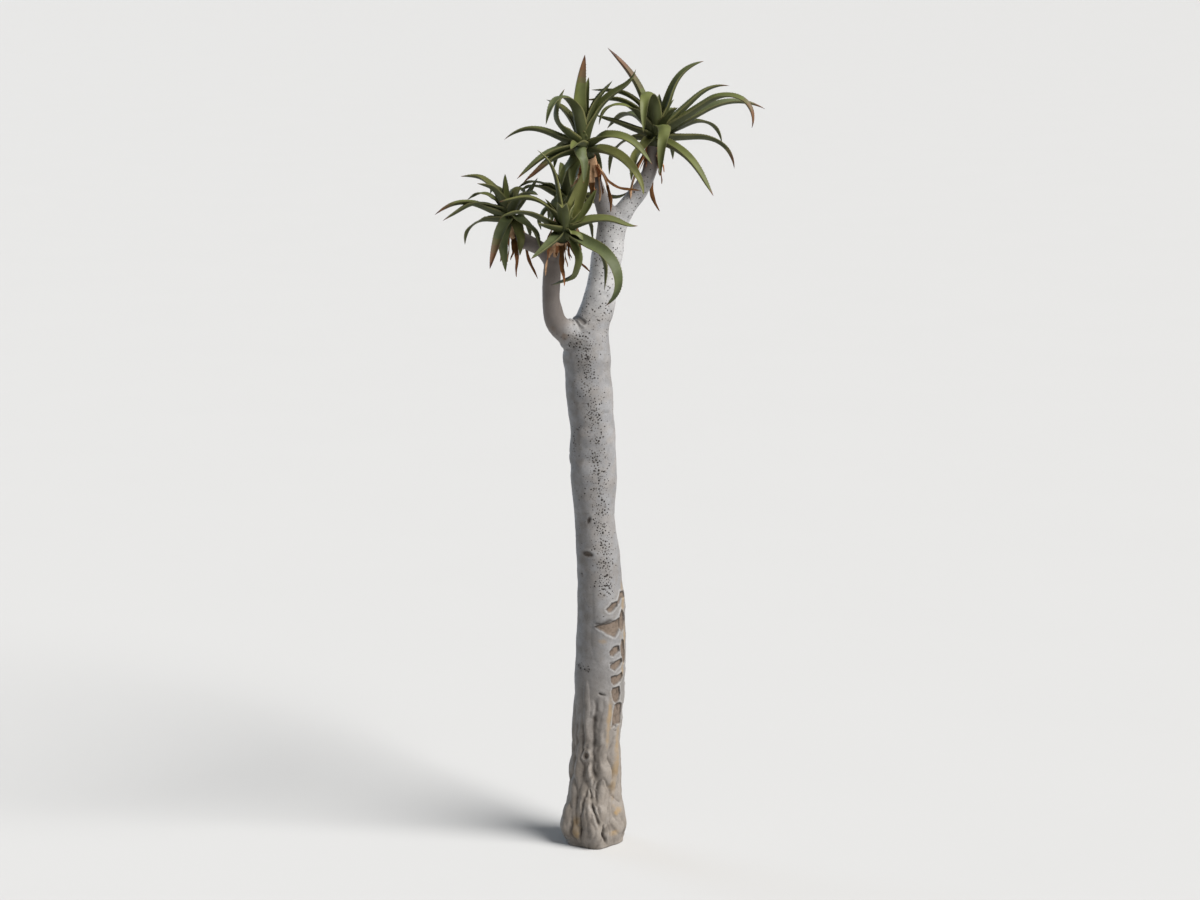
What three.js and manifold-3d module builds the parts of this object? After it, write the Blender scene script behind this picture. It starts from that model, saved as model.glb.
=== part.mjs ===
// A young kokerboom, or quiver tree: a tree aloe with a pale, swelling trunk that forks into stout
// boughs. Each bough ends in a rosette of channelled leaves, with last year's leaves hanging dry below it.
// Millimetres and degrees, +Z up. The origin is the middle of the flat cut at ground level.

import * as THREE from "three";
import { mergeVertices } from "three/addons/utils/BufferGeometryUtils.js";
import Module from "manifold-3d";

const wasm = await Module();
wasm.setup();

// Driving dimensions

const CLEARANCE = 0.3; // between neighbouring pieces
const WELD = 1e-3;

const TRUNK_SIDES = 24;
const TRUNK_RING_SPACING = 85;
const FLARE_HEIGHT = 190; // the root flare's folds fade out above this
const FLARE_FOLDS = 5;
const FLARE_DEPTH = 0.075; // of the radius
const FLARE_TURN = 0.9; // radians that turn the folds about the trunk

// From the ground up: height, sideways lean of the middle, radius
const TRUNK_STATIONS = [
  [0, 0, 87],
  [45, -1, 100],
  [85, -1, 96],
  [155, 2, 83],
  [260, 4, 78],
  [560, 19, 78],
  [740, 23, 75],
  [940, 12, 66],
  [1060, 3, 61],
  [1180, 0, 71],
  [1330, -5, 69],
  [1435, -12, 72],
  [1520, -20, 69],
  [1600, -21, 66],
];

const LIMB_SIDES = 12;
const LIMB_RING_SPACING = 34;

// Each limb: points on its middle line, radius at its start and end, and how early it thins (1 is even)
const LIMBS = {
  main: {
    path: [[-20, 0, 1555], [-6, 4, 1645], [14, 12, 1715], [30, 21, 1815], [54, 25, 1950]],
    radius: [67, 42],
    early: 2.6,
  },
  left: {
    path: [
      [-22, -4, 1592],
      [-72, -24, 1622],
      [-112, -44, 1656],
      [-127, -60, 1718],
      [-127, -68, 1794],
      [-119, -74, 1872],
    ],
    radius: [44, 25],
    early: 2.2,
  },
  front: {
    path: [[-121, -72, 1858], [-112, -92, 1896], [-99, -120, 1930]],
    radius: [25, 24],
    early: 1,
  },
  arm: {
    path: [[-122, -70, 1846], [-156, -58, 1884], [-196, -37, 1903], [-228, -14, 1920], [-241, 0, 1948]],
    radius: [24, 20],
    early: 1,
  },
  back: {
    path: [[-121, -72, 1850], [-116, -28, 1892], [-102, 30, 1930], [-93, 66, 1958], [-88, 84, 1992]],
    radius: [22, 19],
    early: 1,
  },
  right: {
    path: [[50, 24, 1928], [104, 25, 2010], [146, 28, 2066], [173, 32, 2128], [182, 38, 2186]],
    radius: [34, 22],
    early: 1.6,
  },
  centre: {
    path: [[54, 24, 1930], [38, 10, 1992], [17, -8, 2044], [-2, -24, 2098], [-18, -40, 2160]],
    radius: [31, 21],
    early: 1.6,
  },
};

// Each piece of limb: its name, its limb, and how far along the limb it starts and, short of the tip, ends.
// A piece also carries the first stretch of every limb that forks off it.
const BOUGHS = [
  { name: "main_bough", limb: "main", from: 128, forks: ["right", "centre"] },
  { name: "left_elbow", limb: "left", from: 88, to: 150, forks: [] },
  { name: "left_bough", limb: "left", from: 150, forks: ["front", "arm", "back"] },
  { name: "front_bough", limb: "front", from: 44, forks: [] },
  { name: "left_arm", limb: "arm", from: 58, forks: [] },
  { name: "back_bough", limb: "back", from: 58, forks: [] },
  { name: "right_bough", limb: "right", from: 90, forks: [] },
  { name: "centre_bough", limb: "centre", from: 90, forks: [] },
];
const TRUNK_FORKS = ["main", "left"];

// Rosettes
const CORE_LENGTH = 80; // the leafy stem past a bough's tip
const CORE_PROFILE = [[0, 0], [1, 0], [1.06, 0.3], [0.8, 0.65], [0.42, 0.9], [0, 1]]; // of radius and length
const ROOT_LEVELS = [0.2, 0.7]; // the leafy stem bears leaves between these, the steepest highest
const ROOT_RISES = [-30, 90]; // the rise of the lowest and the highest leaf
const ROOT_OUT = 0.3; // how far out of the stem's middle a leaf is rooted, of its radius
const GOLDEN_ANGLE = 137.5;
const LEAF_STEPS = 7;
const DRY_STEPS = 5;
const SPINE_STEPS = 70; // a whole number of leaf steps
const BEND_SPREAD = 0.38; // a leaf bends over this much of its length to either side of its bend
const LIFT_FROM = 0.62; // the part of a leaf past this may turn up again
const TWIST_LENGTH = 0.3; // a twisted blade has turned fully by here
const LEAF_WIDTH = 36;
const WIDTH_PER_LENGTH = 0.03;
const LEAF_THICKNESS = 0.27; // at its root, of its width
const TIP_THINNING = 0.75; // how much of that is lost by the tip
const CHANNEL_DEPTH = 0.25; // of its width
const CLASP = 0.4; // how much a leaf narrows where it clasps the stem
const CLASP_LENGTH = 0.14; // of its length
const BLADE_START = 0.9; // a blade's breadth where it leaves the clasp, of its width
const BLADE_SWELL = 1.6; // and how fast it would broaden from there if it didn't taper
const BLADE_TAPER = 1.1; // how sharply it narrows to its tip
const FILL_LEAVES = 13; // tried on the side of a rosette that doesn't show
const FILL_RISES = [-8, 72]; // of the lowest and the highest
const FILL_DROOPS = [95, 40];
const FILL_BEND = 0.55;
const FILL_SHORTENING = 0.28; // how much shorter the lowest and the highest are than the middle ones
const FILL_SPREAD = 34; // degrees kept clear of every leaf that shows
const ROOM_STEP = 5; // spine steps between the places where such a leaf's room is tested
const LIMB_ROOM = 26; // kept between its middle and every limb
const LEAF_ROOM = 42; // and between it and the leaves of other rosettes
const DRY_WIDTH = 20;
const DRY_SLEEVE = [36, 10]; // the dry leaves clasp the bough from here to here below its tip
const DRY_SLEEVE_WALL = 4;

// The leaves that show in each rosette, and the dry ones under it. A leaf's turn is its heading seen from
// above, 0 along +X and 90 along +Y; rise is how steeply it leaves the stem; droop is how far it bends down,
// about the point of its length named in bend; sweep turns it sideways on the way out, and lift turns the
// tip up at the last.
// Columns: turn, rise, droop, length, bend, sweep, lift, and the blade's twist if it has one.
const ROSETTES = {
  right: {
    limb: "right",
    start: 20,
    reach: 270,
    shown: [
      [173, 70, 24, 287, 0.6, 0, 0, 12],
      [2, 72, 62, 260, 0.76, 0, 0, -26],
      [8, 43, 66, 268, 0.88, 0, 0],
      [-18, 33, 158, 396, 0.81, 0, 0, -12],
      [14, 26, 62, 363, 0.79, 0, 0, -12],
      [31, 17, 105, 275, 0.77, 5, 0],
      [8, 1, 87, 290, 0.74, 2, 0],
      [-49, -12, 40, 289, 0.47, 10, 0],
      [-74, 33, 115, 286, 0.45, -35, 0],
      [-103, 66, 142, 335, 0.55, 0, 0],
      [193, 50, 128, 246, 0.66, 0, 0],
      [178, 20, 0, 190, 0.5, 0, 0],
      [168, 69, 66, 254, 0.45, 0, 0],
      [177, 62, 64, 254, 0.42, 0, 0],
      [232, -4, 68, 182, 0.4, 0, 0],
      [64, 46, 50, 160, 0.6, 0, 0],
      [-45, 54, 30, 120, 0.6, 0, 0],
    ],
    dry: [
      [205, -58, 22, 150, 0.5, 0, 0],
      [95, -82, -30, 190, 0.75, -75, 0],
      [300, -66, 10, 90, 0.5, 0, 0],
    ],
  },
  centre: {
    limb: "centre",
    start: 70,
    reach: 240,
    shown: [
      [162, 81, -18, 257, 0.4, 0, 0, 38],
      [70, 84, 5, 188, 0.5, 0, 0],
      [243, 69, 139, 316, 0.62, -20, 0],
      [166, 21, 64, 260, 0.75, 0, 0],
      [-30, 80, 34, 210, 0.5, 0, 0, -30],
      [-16, 75, 46, 274, 0.42, 0, 50, -30],
      [-44, 28, 79, 275, 0.52, 24, 0, -28],
      [-36, 3, 46, 266, 0.39, 0, -41, -20],
      [258, 15, 30, 190, 0.6, 0, 0],
      [248, 20, 100, 182, 0.4, 60, 0],
      [204, 8, 46, 240, 0.38, 0, 0],
      [206, -4, 34, 222, 0.4, 0, 0],
      [226, -16, 60, 155, 0.5, 0, 0],
      [244, -20, 50, 148, 0.5, 0, 0],
      [208, 38, -94, 214, 0.65, 0, 0],
    ],
    dry: [
      [-22, -58, 26, 150, 0.5, 0, 0],
      [-78, -66, 10, 110, 0.5, 0, 0],
      [-14, -62, -58, 164, 0.47, 0, 0],
    ],
  },
  front: {
    limb: "front",
    start: 110,
    reach: 200,
    shown: [
      [176, 82, 50, 240, 0.8, 0, 0],
      [18, 62, -18, 203, 0.5, 0, 0, -50],
      [60, 70, 40, 150, 0.7, 0, 0],
      [-4, 22, 49, 221, 0.54, 0, 35, -22],
      [-38, -17, 132, 354, 0.71, 0, 0, -32],
      [-36, -28, 132, 256, 0.43, 0, 0],
      [244, -20, 6, 163, 0.51, -16, 0],
      [180, 64, 72, 228, 0.42, 0, 0],
      [192, 28, 60, 200, 0.72, 0, 0],
      [232, 14, 0, 120, 0.5, 0, 0],
      [92, 70, 34, 58, 0.6, 0, 0],
      [0, -20, 76, 241, 0.54, 0, 0],
      [0, 40, -23, 150, 0.5, 0, 0, -50],
      [-30, 4, 88, 95, 0.6, 0, 0],
    ],
    dry: [
      [215, -76, 6, 100, 0.5, 0, 0],
      [-75, -72, 4, 130, 0.5, 0, 0],
      [-12, -60, -20, 115, 0.6, 0, 0],
    ],
  },
  left: {
    limb: "arm",
    start: 150,
    reach: 190,
    shown: [
      [154, 62, 65, 208, 0.58, 0, 0],
      [168, 58, 96, 160, 0.58, 0, 0],
      [182, 22, 61, 238, 0.68, 0, 0],
      [188, 45, 78, 222, 0.38, 0, 0],
      [165, -1, 88, 191, 0.67, 0, 0],
      [251, -19, 62, 193, 0.46, 27, 0],
      [261, 6, 62, 245, 0.35, -14, 0],
      [150, 84, -10, 112, 0.5, 0, 0],
      [122, 74, 112, 160, 0.56, 0, 0],
      [64, 72, 112, 160, 0.56, 0, 0],
      [8, 46, -15, 138, 0.5, 0, 0],
      [292, 8, 105, 165, 0.42, 0, 0],
      [296, 10, 86, 205, 0.52, 48, 0],
    ],
    dry: [
      [272, -72, 6, 130, 0.5, 0, 0],
      [30, -80, -28, 150, 0.7, -30, 0],
      [200, -60, 20, 90, 0.5, 0, 0],
    ],
  },
  back: {
    limb: "back",
    start: 200,
    reach: 185,
    shown: [
      [176, 38, 78, 170, 0.64, 0, 0],
      [197, 28, 76, 156, 0.78, 0, 0],
      [10, 13, 22, 190, 0.4, 0, 55],
      [-10, 5, 92, 142, 0.72, 0, 0],
      [2, -27, 55, 148, 0.5, 0, 0],
      [110, 70, 40, 120, 0.6, 0, 0],
    ],
    dry: [
      [0, -66, 12, 110, 0.5, 0, 0],
      [150, -62, 20, 120, 0.5, 0, 0],
    ],
  },
};

// Geometry helpers

const radians = THREE.MathUtils.degToRad;

function solidOf(geometry) {
  const bare = geometry.clone();
  bare.deleteAttribute("normal");
  bare.deleteAttribute("uv");
  const welded = mergeVertices(bare, WELD);
  const corners = [];
  for (let i = 0; i < welded.index.count; i += 3) {
    const [a, b, c] = [0, 1, 2].map((k) => welded.index.getX(i + k));
    if (a !== b && b !== c && a !== c) corners.push(a, b, c);
  }
  const vertProperties = welded.attributes.position.array;
  return new wasm.Manifold(new wasm.Mesh({ numProp: 3, vertProperties, triVerts: new Uint32Array(corners) }));
}

function geometryOf(solid) {
  const { vertProperties, triVerts } = solid.getMesh();
  const geometry = new THREE.BufferGeometry();
  geometry.setAttribute("position", new THREE.BufferAttribute(vertProperties, 3));
  geometry.setIndex(new THREE.BufferAttribute(triVerts, 1));
  geometry.computeVertexNormals();
  return geometry;
}

const joined = (solids) => solids.reduce((all, solid) => all.add(solid));

// The outer body of a solid, without chips cut loose or hollows closed in
function wholeBody(solid) {
  return solid.decompose().reduce((whole, body) => (body.volume() > whole.volume() ? body : whole));
}

// Moves every vertex of a geometry to where a function says
function reshaped(geometry, place) {
  const position = geometry.attributes.position;
  const point = new THREE.Vector3();
  for (let i = 0; i < position.count; i++) {
    const moved = place(point.fromBufferAttribute(position, i));
    position.setXYZ(i, moved.x, moved.y, moved.z);
  }
  return geometry;
}

// Trunk

const trunkCurve = new THREE.SplineCurve(
  TRUNK_STATIONS.map(([, lean, radius]) => new THREE.Vector2(lean, radius)),
);

function trunkAt(height) {
  const last = TRUNK_STATIONS.length - 1;
  let i = 0;
  while (i < last - 1 && TRUNK_STATIONS[i + 1][0] < height) i++;
  const [low, high] = [TRUNK_STATIONS[i][0], TRUNK_STATIONS[i + 1][0]];
  const t = (i + (height - low) / (high - low)) / last;
  const { x: lean, y: radius } = trunkCurve.getPoint(THREE.MathUtils.clamp(t, 0, 1));
  return { lean, radius };
}

function flare(angle, height) {
  const fade = Math.max(0, 1 - height / FLARE_HEIGHT);
  return 1 + FLARE_DEPTH * fade * Math.cos(FLARE_FOLDS * angle + FLARE_TURN);
}

function trunkShaft() {
  const top = TRUNK_STATIONS.at(-1)[0];
  const heights = TRUNK_STATIONS.map(([z]) => z);
  for (let z = TRUNK_RING_SPACING; z < top; z += TRUNK_RING_SPACING) {
    if (heights.every((h) => Math.abs(h - z) > TRUNK_RING_SPACING / 3)) heights.push(z);
  }
  heights.sort((a, b) => a - b);
  const profile = heights.map((z) => new THREE.Vector2(trunkAt(z).radius, z));
  profile.unshift(new THREE.Vector2(0, 0));
  profile.push(new THREE.Vector2(0, top));
  const lathe = new THREE.LatheGeometry(profile, TRUNK_SIDES).rotateX(Math.PI / 2);
  return reshaped(lathe, (p) => {
    const grow = flare(Math.atan2(p.y, p.x), p.z);
    return new THREE.Vector3(p.x * grow + trunkAt(p.z).lean, p.y * grow, p.z);
  });
}

// Limbs

for (const limb of Object.values(LIMBS)) {
  const path = limb.path.map((p) => new THREE.Vector3(...p));
  limb.curve = new THREE.CatmullRomCurve3(path, false, "centripetal");
  limb.length = limb.curve.getLength();
  const run = limb.curve.getPoint(1).sub(limb.curve.getPoint(0));
  limb.aside = Math.abs(run.y) > Math.abs(run.x) ? new THREE.Vector3(1, 0, 0) : new THREE.Vector3(0, 1, 0);
}

function limbRadius(limb, along) {
  const [thick, thin] = limb.radius;
  return thin + (thick - thin) * Math.max(0, 1 - along / limb.length) ** limb.early;
}

function limbFrame(limb, along) {
  const u = THREE.MathUtils.clamp(along / limb.length, 0, 1);
  const ahead = limb.curve.getTangentAt(u);
  const across = limb.aside.clone().addScaledVector(ahead, -limb.aside.dot(ahead)).normalize();
  return { middle: limb.curve.getPointAt(u), across, ahead, out: across.clone().cross(ahead) };
}

// A closed, tapering stretch of a limb, fattened all round by a margin
function limbStretch(limb, from, to, margin = 0) {
  const rings = Math.max(2, Math.round((to - from) / LIMB_RING_SPACING) + 1);
  const profile = [new THREE.Vector2(0, from)];
  for (let i = 0; i < rings; i++) {
    const along = from + ((to - from) * i) / (rings - 1);
    profile.push(new THREE.Vector2(limbRadius(limb, along) + margin, along));
  }
  profile.push(new THREE.Vector2(0, to));
  return reshaped(new THREE.LatheGeometry(profile, LIMB_SIDES), (p) => {
    const { middle, across, out } = limbFrame(limb, p.y);
    return middle.addScaledVector(across, p.x).addScaledVector(out, p.z);
  });
}

// The first stretch of a limb, which belongs to the piece it forks off
function forkStub(key) {
  const { from } = BOUGHS.find((bough) => bough.limb === key);
  return solidOf(limbStretch(LIMBS[key], 0, from));
}

function boughSolid({ limb: key, from, to, forks }) {
  const limb = LIMBS[key];
  const stretch = solidOf(limbStretch(limb, from + CLEARANCE, to ?? limb.length));
  return joined([stretch, ...forks.map(forkStub)]);
}

// Leaves

// The line a leaf's middle follows: points with their sideways and upper-face directions
function leafSpine(root, [turn, rise, droop, length, bend, sweep, lift, twist = 0]) {
  const point = root.clone();
  const spine = [];
  for (let i = 0; i <= SPINE_STEPS; i++) {
    const t = i / SPINE_STEPS;
    const tip = Math.max(0, (t - LIFT_FROM) / (1 - LIFT_FROM));
    const bent = THREE.MathUtils.smoothstep(t, bend - BEND_SPREAD, bend + BEND_SPREAD);
    const climb = radians(rise - droop * bent + lift * tip * tip);
    const heading = radians(turn + sweep * bent);
    const ahead = new THREE.Vector3(
      Math.cos(climb) * Math.cos(heading),
      Math.cos(climb) * Math.sin(heading),
      Math.sin(climb),
    );
    const side = new THREE.Vector3(Math.sin(heading), -Math.cos(heading), 0);
    side.applyAxisAngle(ahead, -radians(twist) * Math.min(1, t / TWIST_LENGTH));
    if (i > 0) point.addScaledVector(ahead, length / SPINE_STEPS);
    spine.push({ point: point.clone(), side, face: side.clone().cross(ahead) });
  }
  return spine;
}

const leafWidth = (length) => LEAF_WIDTH + WIDTH_PER_LENGTH * length;

function halfWidth(width, t) {
  const clasp = 1 - CLASP * Math.max(0, 1 - t / CLASP_LENGTH);
  return (width / 2) * clasp * (1 - t) ** BLADE_TAPER * (BLADE_START + BLADE_SWELL * t);
}

// A four-sided spindle pressed into a channelled blade and bent along its spine
function leafBlade(root, leaf, width, steps) {
  const spine = leafSpine(root, leaf);
  const profile = [new THREE.Vector2(0, 0)];
  for (let i = 0; i < steps; i++) profile.push(new THREE.Vector2(halfWidth(width, i / steps), i / steps));
  profile.push(new THREE.Vector2(0, 1));
  return reshaped(new THREE.LatheGeometry(profile, 4), (p) => {
    const t = p.y;
    const half = halfWidth(width, t);
    const thick = LEAF_THICKNESS * width * (1 - TIP_THINNING * t);
    let height = -thick / 2;
    if (half > 0 && Math.abs(p.x) > half / 2) height = CHANNEL_DEPTH * 2 * half;
    else if (p.z > half / 2) height = 0;
    else if (p.z < -half / 2) height = -thick;
    const { point, side, face } = spine[Math.round(t * SPINE_STEPS)];
    return point.clone().addScaledVector(side, p.x).addScaledVector(face, height);
  });
}

// Rosettes

for (const rosette of Object.values(ROSETTES)) {
  const limb = LIMBS[rosette.limb];
  const { middle, across, ahead, out } = limbFrame(limb, limb.length);
  rosette.seat = { limb, tip: middle, across, ahead, out, radius: limbRadius(limb, limb.length) };
}

const outward = (turn) => new THREE.Vector3(Math.cos(radians(turn)), Math.sin(radians(turn)), 0);

function leafRoot(seat, [turn, rise]) {
  const level = THREE.MathUtils.mapLinear(rise, ...ROOT_RISES, ...ROOT_LEVELS);
  return seat.tip
    .clone()
    .addScaledVector(seat.ahead, CORE_LENGTH * THREE.MathUtils.clamp(level, ...ROOT_LEVELS))
    .addScaledVector(outward(turn), seat.radius * ROOT_OUT);
}

function aim([turn, rise, droop]) {
  const climb = radians(rise - droop / 2);
  return outward(turn).multiplyScalar(Math.cos(climb)).setZ(Math.sin(climb));
}

// Whether the outer part of a leaf keeps clear of every limb and of the leaves of other rosettes
function hasRoom(rosette, leaf) {
  const spine = leafSpine(leafRoot(rosette.seat, leaf), leaf);
  const outer = spine.filter((_, i) => i > SPINE_STEPS / 4 && i % ROOM_STEP === 0);
  const nearest = (point) => Math.min(...outer.map((station) => station.point.distanceTo(point)));
  for (const limb of Object.values(LIMBS)) {
    for (let along = 0; along <= limb.length; along += LIMB_ROOM) {
      if (nearest(limbFrame(limb, along).middle) < limbRadius(limb, along) + LIMB_ROOM) return false;
    }
  }
  for (const other of Object.values(ROSETTES)) {
    if (other === rosette) continue;
    for (const taken of [...other.shown, ...(other.fill ?? []), ...other.dry]) {
      const stations = leafSpine(leafRoot(other.seat, taken), taken);
      if (stations.some(({ point }) => nearest(point) < LEAF_ROOM)) return false;
    }
  }
  return true;
}

// Leaves that don't show, dealt out by the golden angle from the lowest up
for (const rosette of Object.values(ROSETTES)) {
  rosette.fill = [];
  for (let i = 0; i < FILL_LEAVES; i++) {
    const level = (i + 0.5) / FILL_LEAVES;
    const turn = rosette.start + GOLDEN_ANGLE * i;
    const rise = THREE.MathUtils.lerp(...FILL_RISES, level);
    const droop = THREE.MathUtils.lerp(...FILL_DROOPS, level);
    const length = rosette.reach * (1 - FILL_SHORTENING * (1 - Math.sin(Math.PI * level)));
    const leaf = [turn, rise, droop, length, FILL_BEND, 0, 0];
    const crowded = [...rosette.shown, ...rosette.fill].some(
      (other) => aim(leaf).angleTo(aim(other)) < radians(FILL_SPREAD),
    );
    if (!crowded && hasRoom(rosette, leaf)) rosette.fill.push(leaf);
  }
}

// The leafy stem past the bough's tip: a blunt bud
function coreSolid(seat) {
  const points = CORE_PROFILE.map(
    ([r, h]) => new THREE.Vector2(r * seat.radius, CLEARANCE + h * CORE_LENGTH),
  );
  return solidOf(
    reshaped(new THREE.LatheGeometry(points, LIMB_SIDES), (p) =>
      seat.tip
        .clone()
        .addScaledVector(seat.across, p.x)
        .addScaledVector(seat.ahead, p.y)
        .addScaledVector(seat.out, p.z),
    ),
  );
}

function rosetteSolid({ seat, shown, fill }) {
  const leaves = [...shown, ...fill].map((leaf) =>
    solidOf(leafBlade(leafRoot(seat, leaf), leaf, leafWidth(leaf[3]), LEAF_STEPS)),
  );
  return wholeBody(joined([coreSolid(seat), ...leaves]));
}

// Dry leaves hang from a sleeve that clasps the bough just under its tip
function drySolid({ seat, dry }) {
  const { limb } = seat;
  const [low, high] = DRY_SLEEVE.map((below) => limb.length - below);
  const sleeve = solidOf(limbStretch(limb, low, high, DRY_SLEEVE_WALL));
  const middle = limbFrame(limb, (low + high) / 2).middle;
  const leaves = dry.map((leaf) => {
    const root = middle.clone().addScaledVector(outward(leaf[0]), seat.radius);
    return solidOf(leafBlade(root, leaf, DRY_WIDTH, DRY_STEPS));
  });
  const { from } = BOUGHS.find((bough) => LIMBS[bough.limb] === limb);
  const room = solidOf(limbStretch(limb, from + CLEARANCE, limb.length, CLEARANCE));
  return wholeBody(joined([sleeve, ...leaves]).subtract(room));
}

// Assembly

const bark = new THREE.MeshStandardMaterial({ color: 0xb3b0ad, roughness: 0.85, metalness: 0 });
const leafGreen = new THREE.MeshStandardMaterial({ color: 0x5d6641, roughness: 0.5, metalness: 0 });
const dryBrown = new THREE.MeshStandardMaterial({ color: 0x8f5e38, roughness: 0.9, metalness: 0 });

const tree = new THREE.Group();
tree.name = "kokerboom";

function addPiece(name, solid, material) {
  const mesh = new THREE.Mesh(geometryOf(solid), material);
  mesh.name = name;
  tree.add(mesh);
}

addPiece("trunk", joined([solidOf(trunkShaft()), ...TRUNK_FORKS.map(forkStub)]), bark);
for (const bough of BOUGHS) addPiece(bough.name, boughSolid(bough), bark);
for (const [key, rosette] of Object.entries(ROSETTES)) {
  addPiece(`rosette_${key}`, rosetteSolid(rosette), leafGreen);
  addPiece(`dry_leaves_${key}`, drySolid(rosette), dryBrown);
}

export default tree;
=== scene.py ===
"""A young kokerboom, or quiver tree, dressed over its solid model.

The bark is one smooth skin grown round the trunk and limbs, with its swellings, folds, scars and knots in
the mesh. The leaves grow by the same rows and rules as the solid model's, with fuller blades, finer sections,
hearts of young leaves, toothed margins and more dry leaves. Lengths in the tree's rules are millimetres,
angles are degrees, +Z is up and -Y is towards the viewer.
"""

import itertools
import math

import bpy
import numpy as np
from bpy.props import FloatProperty, FloatVectorProperty, IntProperty, PointerProperty
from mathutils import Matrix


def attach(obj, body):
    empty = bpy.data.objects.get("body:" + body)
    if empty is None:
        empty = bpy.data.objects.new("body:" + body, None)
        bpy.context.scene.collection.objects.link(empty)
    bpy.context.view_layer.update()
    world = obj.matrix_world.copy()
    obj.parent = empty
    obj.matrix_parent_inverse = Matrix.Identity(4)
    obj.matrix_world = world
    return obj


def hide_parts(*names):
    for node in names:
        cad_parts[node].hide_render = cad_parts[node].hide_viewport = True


bl_info = {
    "name": "Kokerboom",
    "version": (1, 0, 0),
    "blender": (4, 5, 0),
    "location": "View3D > Sidebar > Kokerboom",
    "description": "Dresses a quiver tree's solids with bark, leaf rosettes and dry leaves",
    "category": "Object",
}

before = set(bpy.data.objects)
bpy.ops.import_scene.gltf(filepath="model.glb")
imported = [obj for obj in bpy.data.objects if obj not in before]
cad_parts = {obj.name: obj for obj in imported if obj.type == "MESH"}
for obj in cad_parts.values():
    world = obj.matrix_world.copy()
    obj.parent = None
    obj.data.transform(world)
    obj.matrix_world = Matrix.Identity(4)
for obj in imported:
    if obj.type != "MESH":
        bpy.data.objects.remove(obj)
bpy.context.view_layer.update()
BODY = "root"
MM = 0.001

# The trunk and limbs, as the solid model has them

TRUNK_STATIONS = np.array([  # height, sideways lean, radius
    (0, 0, 87),
    (45, -1, 100),
    (85, -1, 96),
    (155, 2, 83),
    (260, 4, 78),
    (560, 19, 78),
    (740, 23, 75),
    (940, 12, 66),
    (1060, 3, 61),
    (1180, 0, 71),
    (1330, -5, 69),
    (1435, -12, 72),
    (1520, -20, 69),
    (1600, -21, 66),
], float)
FLARE_HEIGHT = 190
FLARE_FOLDS = 5
FLARE_DEPTH = 0.075
FLARE_TURN = 0.9
TRUNK_ROUNDING = 60  # of the trunk's top, inside its fork

LIMBS = {  # points on the middle line, radius at both ends, how early it thins
    "main": ([(-20, 0, 1555), (-6, 4, 1645), (14, 12, 1715), (30, 21, 1815), (54, 25, 1950)],
             (67, 42), 2.6),
    "left": ([(-22, -4, 1592), (-72, -24, 1622), (-112, -44, 1656), (-127, -60, 1718), (-127, -68, 1794),
              (-119, -74, 1872)], (44, 25), 2.2),
    "front": ([(-121, -72, 1858), (-112, -92, 1896), (-99, -120, 1930)], (25, 24), 1),
    "arm": ([(-122, -70, 1846), (-156, -58, 1884), (-196, -37, 1903), (-228, -14, 1920), (-241, 0, 1948)],
            (24, 20), 1),
    "back": ([(-121, -72, 1850), (-116, -28, 1892), (-102, 30, 1930), (-93, 66, 1958), (-88, 84, 1992)],
             (22, 19), 1),
    "right": ([(50, 24, 1928), (104, 25, 2010), (146, 28, 2066), (173, 32, 2128), (182, 38, 2186)],
              (34, 22), 1.6),
    "centre": ([(54, 24, 1930), (38, 10, 1992), (17, -8, 2044), (-2, -24, 2098), (-18, -40, 2160)],
               (31, 21), 1.6),
}
BOUGH_NODES = (
    "main_bough", "left_elbow", "left_bough", "front_bough",
    "left_arm", "back_bough", "right_bough", "centre_bough",
)

# Leaf rows: turn, rise, droop, length, bend, sweep, lift, and the blade's twist if it has one.
# start and reach are the first turn and the length of the leaves that don't show, litter counts the shreds of
# dry leaf and shag lengthens them, and old lists the dry rows that are dark. By a shown row's number, rust is
# the share of the leaf that is scorched, tint its colour, and broad how much broader it is than its solid.

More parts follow.
